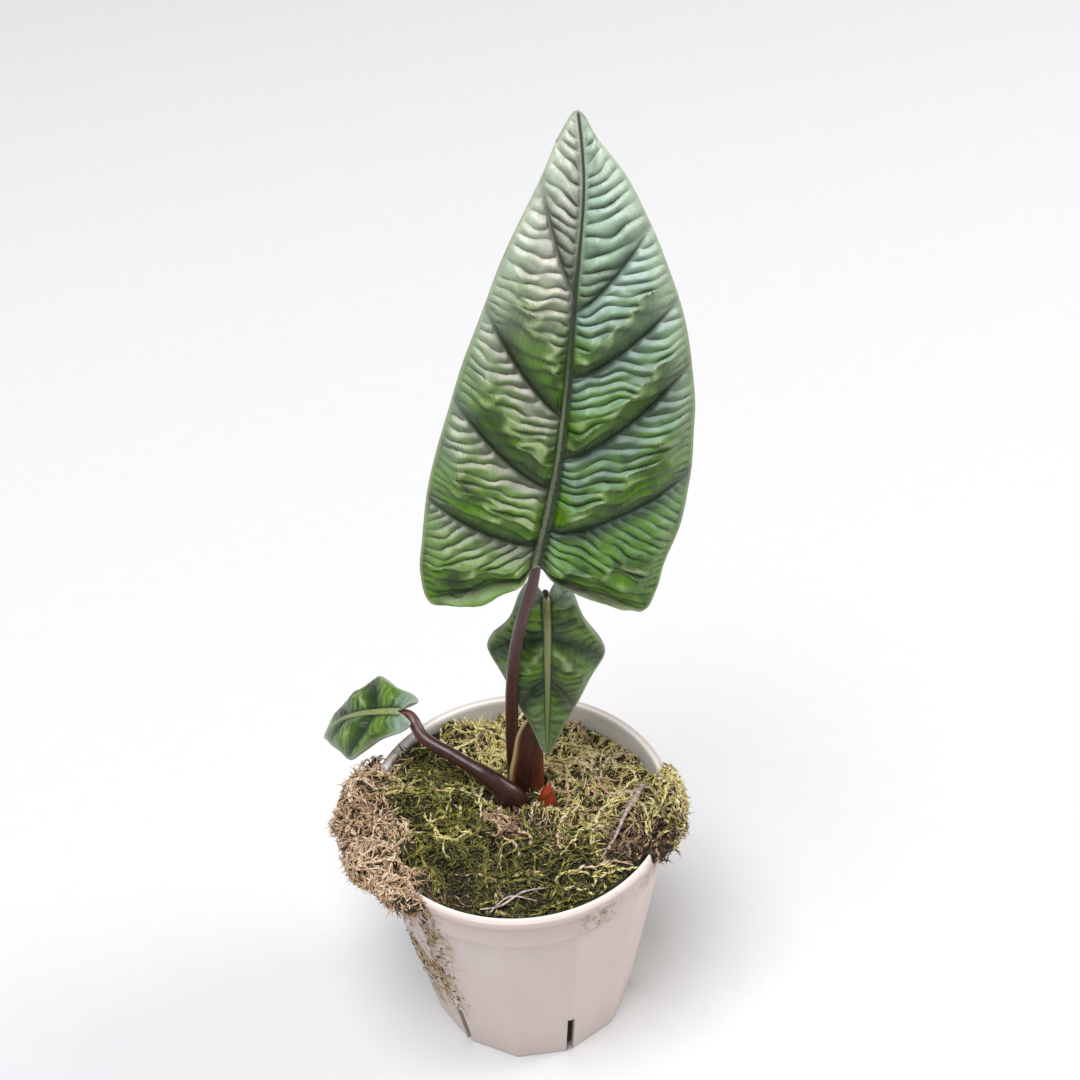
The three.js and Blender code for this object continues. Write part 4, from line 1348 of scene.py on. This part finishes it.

# %% [markdown]
# Four finishes are enough for the moss: living green, pale gold, dry straw and brown. Each goes from
# dark to light by a number that every scrap has of its own, so that neighbours differ; that number
# also carries painted light and shade. Each leaf is paler at its tip and darker at its root, the dark
# root being painted shade where the leaves crowd the strand.

# %% Moss finishes
def fibre_finish(name, dark, middle, light, tip):
    material = new_finish(name)
    tone, stage = painted("tone"), painted("stage")
    grain = mottle(0.6, place_in_mm(), 3)
    colour = blend(tone.within(0.0, 0.5), dark, middle)
    colour = blend(tone.within(0.5, 1.0), colour, light)
    colour = blend(stage.within(0.55, 1.0) * 0.5, colour, tip)
    # Painted shade: each leaf darkens towards its root, where it meets the strand.
    colour = blend(stage.within(0.35, 0.0) * 0.55, colour, tint(34, 30, 16))
    colour = blend(grain * 0.2, colour, dark)
    set_shader(material, Base_Color=colour, Roughness=0.85, Normal=bumped(grain, 0.1, 0.5))
    return material


MOSS_COLOURS = {
    "green": ("green moss", (34, 36, 10), (100, 98, 34), (182, 172, 88), (192, 184, 112)),
    "gold": ("gold moss", (102, 90, 38), (228, 210, 130), (255, 246, 192), (255, 248, 208)),
    "straw": ("dry moss", (116, 86, 56), (218, 182, 142), (248, 228, 200), (246, 230, 208)),
    "brown": ("brown moss", (44, 28, 18), (112, 82, 60), (190, 156, 130), (200, 168, 146)),
}
MOSS_TONES = {
    kind: fibre_finish(name, *(tint(*colour) for colour in colours))
    for kind, (name, *colours) in MOSS_COLOURS.items()
}
print("moss tones:", list(MOSS_TONES))

# %% [markdown]
# Where each tone grows follows the photograph: green in the middle and at the front left, gold at
# the back and right, a dry straw mass over the rim at the left and a little beside the stalks, and
# a brown patch at the front right of the rim. A painted mask would do, but rules with noise fray the
# borders between the tones by themselves.

# %% Where the moss grows
OVER_LIP = 47.2


def surface_samples(mesh, count, draw):
    """Random points on the part of the bed that shows, with the slope of the surface there."""
    mesh.calc_loop_triangles()
    corners = np.empty(len(mesh.loop_triangles) * 3, dtype=np.int32)
    mesh.loop_triangles.foreach_get("vertices", corners)
    corner = coordinates(mesh)[corners.reshape(-1, 3)]
    cross = np.cross(corner[:, 1] - corner[:, 0], corner[:, 2] - corner[:, 0])
    area = np.linalg.norm(cross, axis=1)
    normal = cross / np.maximum(area, 1e-9)[:, None]
    middle = corner.mean(axis=1)
    out_of_pot = np.hypot(middle[:, 0], middle[:, 1]) > OVER_LIP
    open_air = ((middle[:, 2] > SHOWS_FROM) & (normal[:, 2] > 0.3)) | (out_of_pot & (normal[:, 2] > -0.8))
    chance = np.where(open_air, area, 0)
    picked = draw.choice(len(area), size=count, p=chance / chance.sum())
    u, v = draw.random((2, count, 1))
    flip = (u + v) > 1
    u, v = np.where(flip, 1 - u, u), np.where(flip, 1 - v, v)
    base = corner[picked]
    return base[:, 0] + u * (base[:, 1] - base[:, 0]) + v * (base[:, 2] - base[:, 0]), normal[picked]


def tone_of(points):
    """Which tone grows at each point."""
    x, y = points[:, 0], points[:, 1]
    r = np.hypot(x, y)
    angle = np.degrees(np.arctan2(x, -y))
    fray = ripples(x, y, 16, 51)
    small = ripples(x, y, 6, 52)
    gold = 0.04 * (x + 2) + 0.035 * (y - 2) + 0.55 * fray + 0.45 * small > 0.15
    dead = np.hypot((x + 1) / 1.5, y + 9) + 1.5 * small < 4.6
    straw = dead | (r + 3 * small + 3 * fray > 39.5) & (angle < -22) & (angle > -125)
    ochre = (r + 2 * small > 42) & (angle > 60) & (angle < 112)
    brown = (np.hypot(x - 36, y + 22) + 2.5 * small < 10)
    names = np.where(gold | ochre, "gold", "green")
    names = np.where(straw, "straw", names)
    return np.where(brown, "brown", names)


print("tone at the back right of the bed:", tone_of(np.array([[20.0, 20.0, 84.0]])))

# %% [markdown]
# A scrap must not stand in the wall of the pot or in a stalk. Testing each against the solids would
# be slow, so the wall is its radius at a height, and the stalks are a few discs seen from above.

# %% Room for the pot and the stalks
TORN_FROM = 0.8
STEM_ROOM = [(-0.9, 10.0, 2.6), (5.2, 8.6, 4.0), (-0.9, 1.7, 5.2), (-4.0, 2.6, 4.0), (9.2, 0.4, 3.0)]


def keep_clear(points, roots):
    """Pushes scraps out of the pot's wall. Returns them with a mask of those that were not torn by it."""
    r = np.hypot(points[..., 0], points[..., 1])
    outside = (np.hypot(roots[:, 0], roots[:, 1]) > OVER_LIP)[:, None]
    inner = wall_radius(np.clip(points[..., 2], 0, 85)) * 0.985 - 2.0
    in_reach = points[..., 2] < POT_HEIGHT + 0.3
    pushed = np.where(outside, np.maximum(r, LIP_RADIUS + 0.4), np.minimum(r, inner))
    wanted = np.where(in_reach, pushed, r)
    shift = wanted - r
    torn = (shift.max(axis=1) - shift.min(axis=1)) > TORN_FROM
    points[..., :2] *= (wanted / np.maximum(r, 1e-6))[..., None]
    return points, ~torn


def beside_stems(points):
    """True where moss may be rooted without standing in a stalk."""
    clear = np.ones(len(points), dtype=bool)
    for x, y, r in STEM_ROOM:
        clear &= np.hypot(points[:, 0] - x, points[:, 1] - y) > r
    return clear


def along_surface(vectors, normals):
    """What is left of each vector after its part square to the surface is taken away."""
    return vectors - (vectors * normals).sum(-1, keepdims=True) * normals


def scraps(label, kinds, points, faces, tone, stage):
    """One piece for each tone from closed scraps that all have the same faces."""
    per = points.shape[1]
    for kind, finish in MOSS_TONES.items():
        mine = points[kinds == kind]
        if len(mine):
            all_faces = (faces[None] + (np.arange(len(mine)) * per)[:, None, None]).reshape(-1, 3)
            notes = {"tone": np.repeat(tone[kinds == kind], per), "stage": np.tile(stage, len(mine))}
            piece_from(f"{label}_{kind}", mine.reshape(-1, 3), all_faces, finish, notes)


print("clear of the stalks at the middle of the bed:", beside_stems(np.array([[0.0, 3.0]])))

# %% [markdown]
# A strand creeps: it takes short steps over the bed, turns a little at each, and comes back to the
# surface. Straight strands stuck into the bed would look like grass.

# %% The way of a strand
WANDER = 0.2


def march(starts, draw, steps, pace, lift):
    """Walks strands over the bed: each step curls a little and comes back down to the surface."""
    lines, ups = np.empty((2, len(starts), steps, 3))
    for number, start in enumerate(starts):
        spot, up, _, _ = bed_tree.find_nearest(Vector(start))
        heading = Vector(draw.normal(size=3))
        curl = draw.normal(0, WANDER)
        high = draw.uniform(0.15, 1) * lift
        for step in range(steps):
            heading = (heading - up * heading.dot(up)).normalized()
            lines[number, step] = spot + up * high * math.sin(math.pi * (0.1 + 0.8 * step / (steps - 1)))
            ups[number, step] = up
            curl = 0.7 * curl + draw.normal(0, WANDER)
            heading.rotate(Quaternion(up, curl))
            ahead, ahead_up, _, _ = bed_tree.find_nearest(spot + heading * pace)
            if ahead.z < SHOWS_FROM and math.hypot(ahead.x, ahead.y) < 47:
                heading.negate()
            else:
                spot, up = ahead, ahead_up
    return lines, ups


print("a strand wanders by about", round(math.degrees(WANDER)), "degrees at each step")

# %% [markdown]
# The leaves of a strand stand all round it and curl back over it, so that it looks like a limp
# bottle brush. They are thicker on real moss than can be counted, so fewer and larger ones are used.

# %% Leafy strands
def front_darkening(points):
    """Lowers the tone towards the front of the bed, except at the far left."""
    return 0.26 * smooth_step(-points[:, 1], 5, 30) * (points[:, 0] > -30)


def leafy_strands(label, starts, draw, steps=13, pace=2.0, lift=1.9, leaves=46, kinds=None):
    """Strands of moss from the given starts: their cores in one piece for each tone, and their leaves."""
    lines, ups = march(starts, draw, steps, pace, lift)
    count = len(starts)
    # The tone is random, with painted light on the hummocks of the bed, painted shade in its hollows, and a
    # darkening towards the front.
    tone = np.clip(draw.normal(0.45, 0.22, size=count) + 0.25 * clump_at(starts) - front_darkening(starts), 0, 1)
    if kinds is None:
        kinds = tone_of(lines[:, steps // 2])
        kinds = np.where((kinds == "green") & (draw.random(count) < 0.16), "gold", kinds)
        kinds = np.where((kinds == "gold") & (draw.random(count) < 0.2), "straw", kinds)
    core_points, core_faces, core_stage = cores(lines, ups, radius=0.3)
    core_points, whole = keep_clear(core_points, lines[:, steps // 2])
    scraps(label + "_cores", kinds[whole], core_points[whole], core_faces, tone[whole], core_stage)

    at = np.sort(draw.uniform(0, steps - 1.01, size=(count, leaves)), axis=1)
    cell = at.astype(int)
    share = (at - cell)[..., None]
    row = np.arange(count)[:, None]
    roots = lines[row, cell] * (1 - share) + lines[row, cell + 1] * share
    tangent = unit(lines[row, cell + 1] - lines[row, cell] + 1e-6)
    up = ups[row, cell]
    outward = draw.normal(size=roots.shape) + 0.4 * up
    outward = unit(along_surface(outward, tangent))
    headings = unit(0.4 * tangent + outward)
    bends = 1.7 * tangent - 1.5 * outward + 0.5 * draw.normal(size=roots.shape)
    lengths = draw.uniform(1.3, 2.9, size=at.shape) * (1.1 - 0.45 * at / steps)
    widths = draw.uniform(0.22, 0.46, size=at.shape)
    roots, headings, bends = (vectors.reshape(-1, 3) for vectors in (roots, headings, bends))
    points, faces, stage = spindles(roots, headings, bends, lengths.ravel(), widths.ravel(), flatness=0.5)
    upness = (outward * up).sum(-1).ravel()
    # Leaves that face up get a lighter tone and leaves that face down a darker one: painted light and shade.
    leaf_tone_and_light = np.clip(np.repeat(tone, leaves) + draw.normal(0, 0.1, size=at.size) + 0.25 * upness, 0, 1)
    points, whole = keep_clear(points, roots)
    keep = beside_stems(roots) & whole
    scraps(label + "_leaves", np.repeat(kinds, leaves)[keep], points[keep], faces, leaf_tone_and_light[keep], stage)


moss_draw = np.random.default_rng(5)
strand_starts, _ = surface_samples(bed.data, count=410, draw=moss_draw)
leafy_strands("moss", strand_starts[beside_stems(strand_starts)], moss_draw)

# %% [markdown]
# Between the strands lie torn leaves and bits of stem. Each is one spindle that lies nearly flat on
# the bed, because more strands would cost many more triangles for the same effect.

# %% Loose scraps
def loose_scraps(label, count, seed):
    """Single spindles strewn over the bed."""
    draw = np.random.default_rng(seed)
    roots, normals = surface_samples(bed.data, count, draw)
    keep = beside_stems(roots)
    roots, normals = roots[keep], normals[keep]
    count = len(roots)
    spread = along_surface(draw.normal(size=(count, 3)), normals)
    lift = draw.uniform(0.0, 0.45, size=(count, 1))
    headings = unit(unit(spread) + lift * normals)
    bends = 1.6 * draw.normal(size=(count, 3)) - 0.8 * lift * normals
    lengths, widths = draw.uniform(2, 5.2, size=count), draw.uniform(0.16, 0.32, size=count)
    roots = roots + draw.uniform(-0.3, 0.7, size=(count, 1)) * normals
    points, faces, stage = spindles(roots, headings, bends, lengths, widths, flatness=0.7)
    # Scraps get a darker tone than the strands, painted shade for lying deeper in the gaps, plus the same
    # painted light on hummocks and shade in hollows.
    tone = np.clip(draw.normal(0.3, 0.22, size=count) + 0.25 * clump_at(roots) - front_darkening(roots), 0, 1)
    points, whole = keep_clear(points, roots)
    scraps(label, tone_of(roots)[whole], points[whole], faces, tone[whole], stage)


loose_scraps("scraps", count=8000, seed=12)

# %% [markdown]
# ## Tufts
# A tuft of brown dead moss sits before the third stalk, and others stand at the back and over the
# rim. They catch the eye in the photograph, so each gets its own place instead of a random one. Short
# strands with a high lift make a tuft.

# %% Tufts
def gathered(at, spread, count, draw):
    """Starting points for a tuft, scattered about a place on the bed."""
    starts = np.tile(np.array(at, dtype=float), (count, 1))
    starts[:, :2] += spread * draw.normal(size=(count, 2))
    return starts


tuft_draw = np.random.default_rng(8)
for label, at, spread, kind, count in (
    ("tuft_dead", (-4.5, -8, 88), 2.6, "brown", 11), ("tuft_dry", (-6.5, -7, 88), 2.4, "straw", 5),
    ("tuft_back", (25, 41.5, 86), 1.8, "straw", 7), ("tuft_rim", (47.5, 2.5, 88), 2.2, "gold", 7),
):
    starts, kinds = gathered(at, spread, count, tuft_draw), np.full(count, kind)
    leafy_strands(label, starts, tuft_draw, steps=7, pace=1.3, lift=3.2, leaves=30, kinds=kinds)

# %% [markdown]
# ## Twig and threads
# A pale dry twig leans against the right side of the bed, and two long pale threads cross the front.
# A cylinder would hover over the lumps, so each path is laid point by point on the bed and then
# swept, like the stalks.

# %% Twig and threads
def twig_finish():
    material = new_finish("dry twig")
    where = place_in_mm((1, 1, 0.4))
    bark = mottle(1.2, where, 4)
    colour = blend(bark.within(0.35, 0.65), tint(138, 118, 112), tint(204, 188, 184))
    set_shader(material, Base_Color=colour, Roughness=0.8, Normal=bumped(bark, 0.15, 0.7))
    return material


def on_bed(x, y, lift):
    """The point that lies a given height over the moss at x, y."""
    hit = bed_tree.ray_cast(Vector((x, y, 120)), Vector((0, 0, -1)))[0]
    return [x, y, (hit.z if hit else 84) + lift]


TWIG = twig_finish()
LAID = {
    "twig": (
        [(38.8, 3.6, 3.4), (36, -2.5, 3.2), (32, -11, 2.8), (28, -18, 2.4), (22.6, -26, 1.8)],
        stops((0, 0.9), (0.35, 1.0), (0.5, 0.6), (0.9, 0.4), (1, 0.2)),
    ),
    "thread_long": (
        [(-14, -40, 1.6), (-8, -39.5, 2.2), (-1, -36, 2.2), (6, -35.5, 1.6)],
        stops((0, 0.25), (0.5, 0.4), (1, 0.2)),
    ),
    "thread_short": (
        [(-12, -42, 1.4), (-5, -37, 2.0), (3, -39, 1.6)],
        stops((0, 0.2), (0.5, 0.3), (1, 0.15)),
    ),
}
for name, (spots, girth) in LAID.items():
    path = smooth_path([on_bed(*spot) for spot in spots], count=60)
    points, faces, notes = swept(path, girth, girth, sides=10)
    piece_from(name, points, faces, TWIG, notes, weld=0.005)

# %% [markdown]
# ## Moss on the wall
# Dirty water ran down the left of the wall and left scraps of moss there. Each run is an angle round
# the pot and its scatter in degrees, then a height and its scatter in millimetres. A ray from outside
# finds the wall for every scrap, since the facets have no single radius.

# %% Moss on the wall
MOSS_RUNS = [[-43, 4, 62, 12], [-45, 4, 38, 8], [-66, 7, 34, 6], [-78, 12, 66, 12]]


def wall_moss(count, seed):
    """Short scraps lying against the outside of the wall, where dirty water ran down."""
    draw = np.random.default_rng(seed)
    wall_tree = search_tree([v.co / MM for v in pot.data.vertices], pot.data)
    run = np.array(MOSS_RUNS, dtype=float)[draw.integers(0, len(MOSS_RUNS), size=count)]
    angle = np.radians(run[:, 0] + run[:, 1] * draw.normal(size=count))
    z = np.clip(run[:, 2] + run[:, 3] * draw.normal(size=count), SLOT_TOP + 2, 82)
    roots, normals = np.empty((2, count, 3))
    for k in range(count):
        beside = Vector((60 * math.sin(angle[k]), -60 * math.cos(angle[k]), z[k]))
        hit, normal, _, _ = wall_tree.ray_cast(beside, Vector((-beside.x, -beside.y, 0)))
        roots[k], normals[k] = hit + 0.25 * normal, normal
    headings = unit(along_surface(draw.normal(size=(count, 3)) * (1, 1, 1.5), normals))
    bends = along_surface(1.3 * draw.normal(size=(count, 3)), normals)
    lengths, widths = draw.uniform(1.2, 3.6, size=count), draw.uniform(0.16, 0.32, size=count)
    points, faces, stage = spindles(roots, headings, bends, lengths, widths, flatness=0.6)
    kinds = draw.choice(["brown", "straw", "gold"], size=count, p=[0.25, 0.45, 0.3])
    scraps("wall_moss", kinds, points, faces, draw.uniform(0.1, 0.9, size=count), stage)


wall_moss(count=330, seed=31)

# %% [markdown]
# ## The corm
# The woody foot of the plant stands buried in the moss, with its roots. It is hidden, so its CAD
# solid stays as it is and only gets a rough brown finish: finer roots would never be seen.

# %% Corm finish
def corm_finish():
    material = new_finish("corm bark")
    where = place_in_mm((1, 1, 2.2))
    rings = mottle(2.5, where, 5, 0.65)
    colour = blend(rings.within(0.3, 0.7), tint(62, 42, 26), tint(124, 92, 60))
    set_shader(material, Base_Color=colour, Roughness=0.85, Normal=bumped(rings, 0.5, 0.8))
    return material


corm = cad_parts["corm"]
corm.data.materials.clear()
corm.data.materials.append(corm_finish())
print("corm keeps its solid, with", len(corm.data.polygons), "faces")
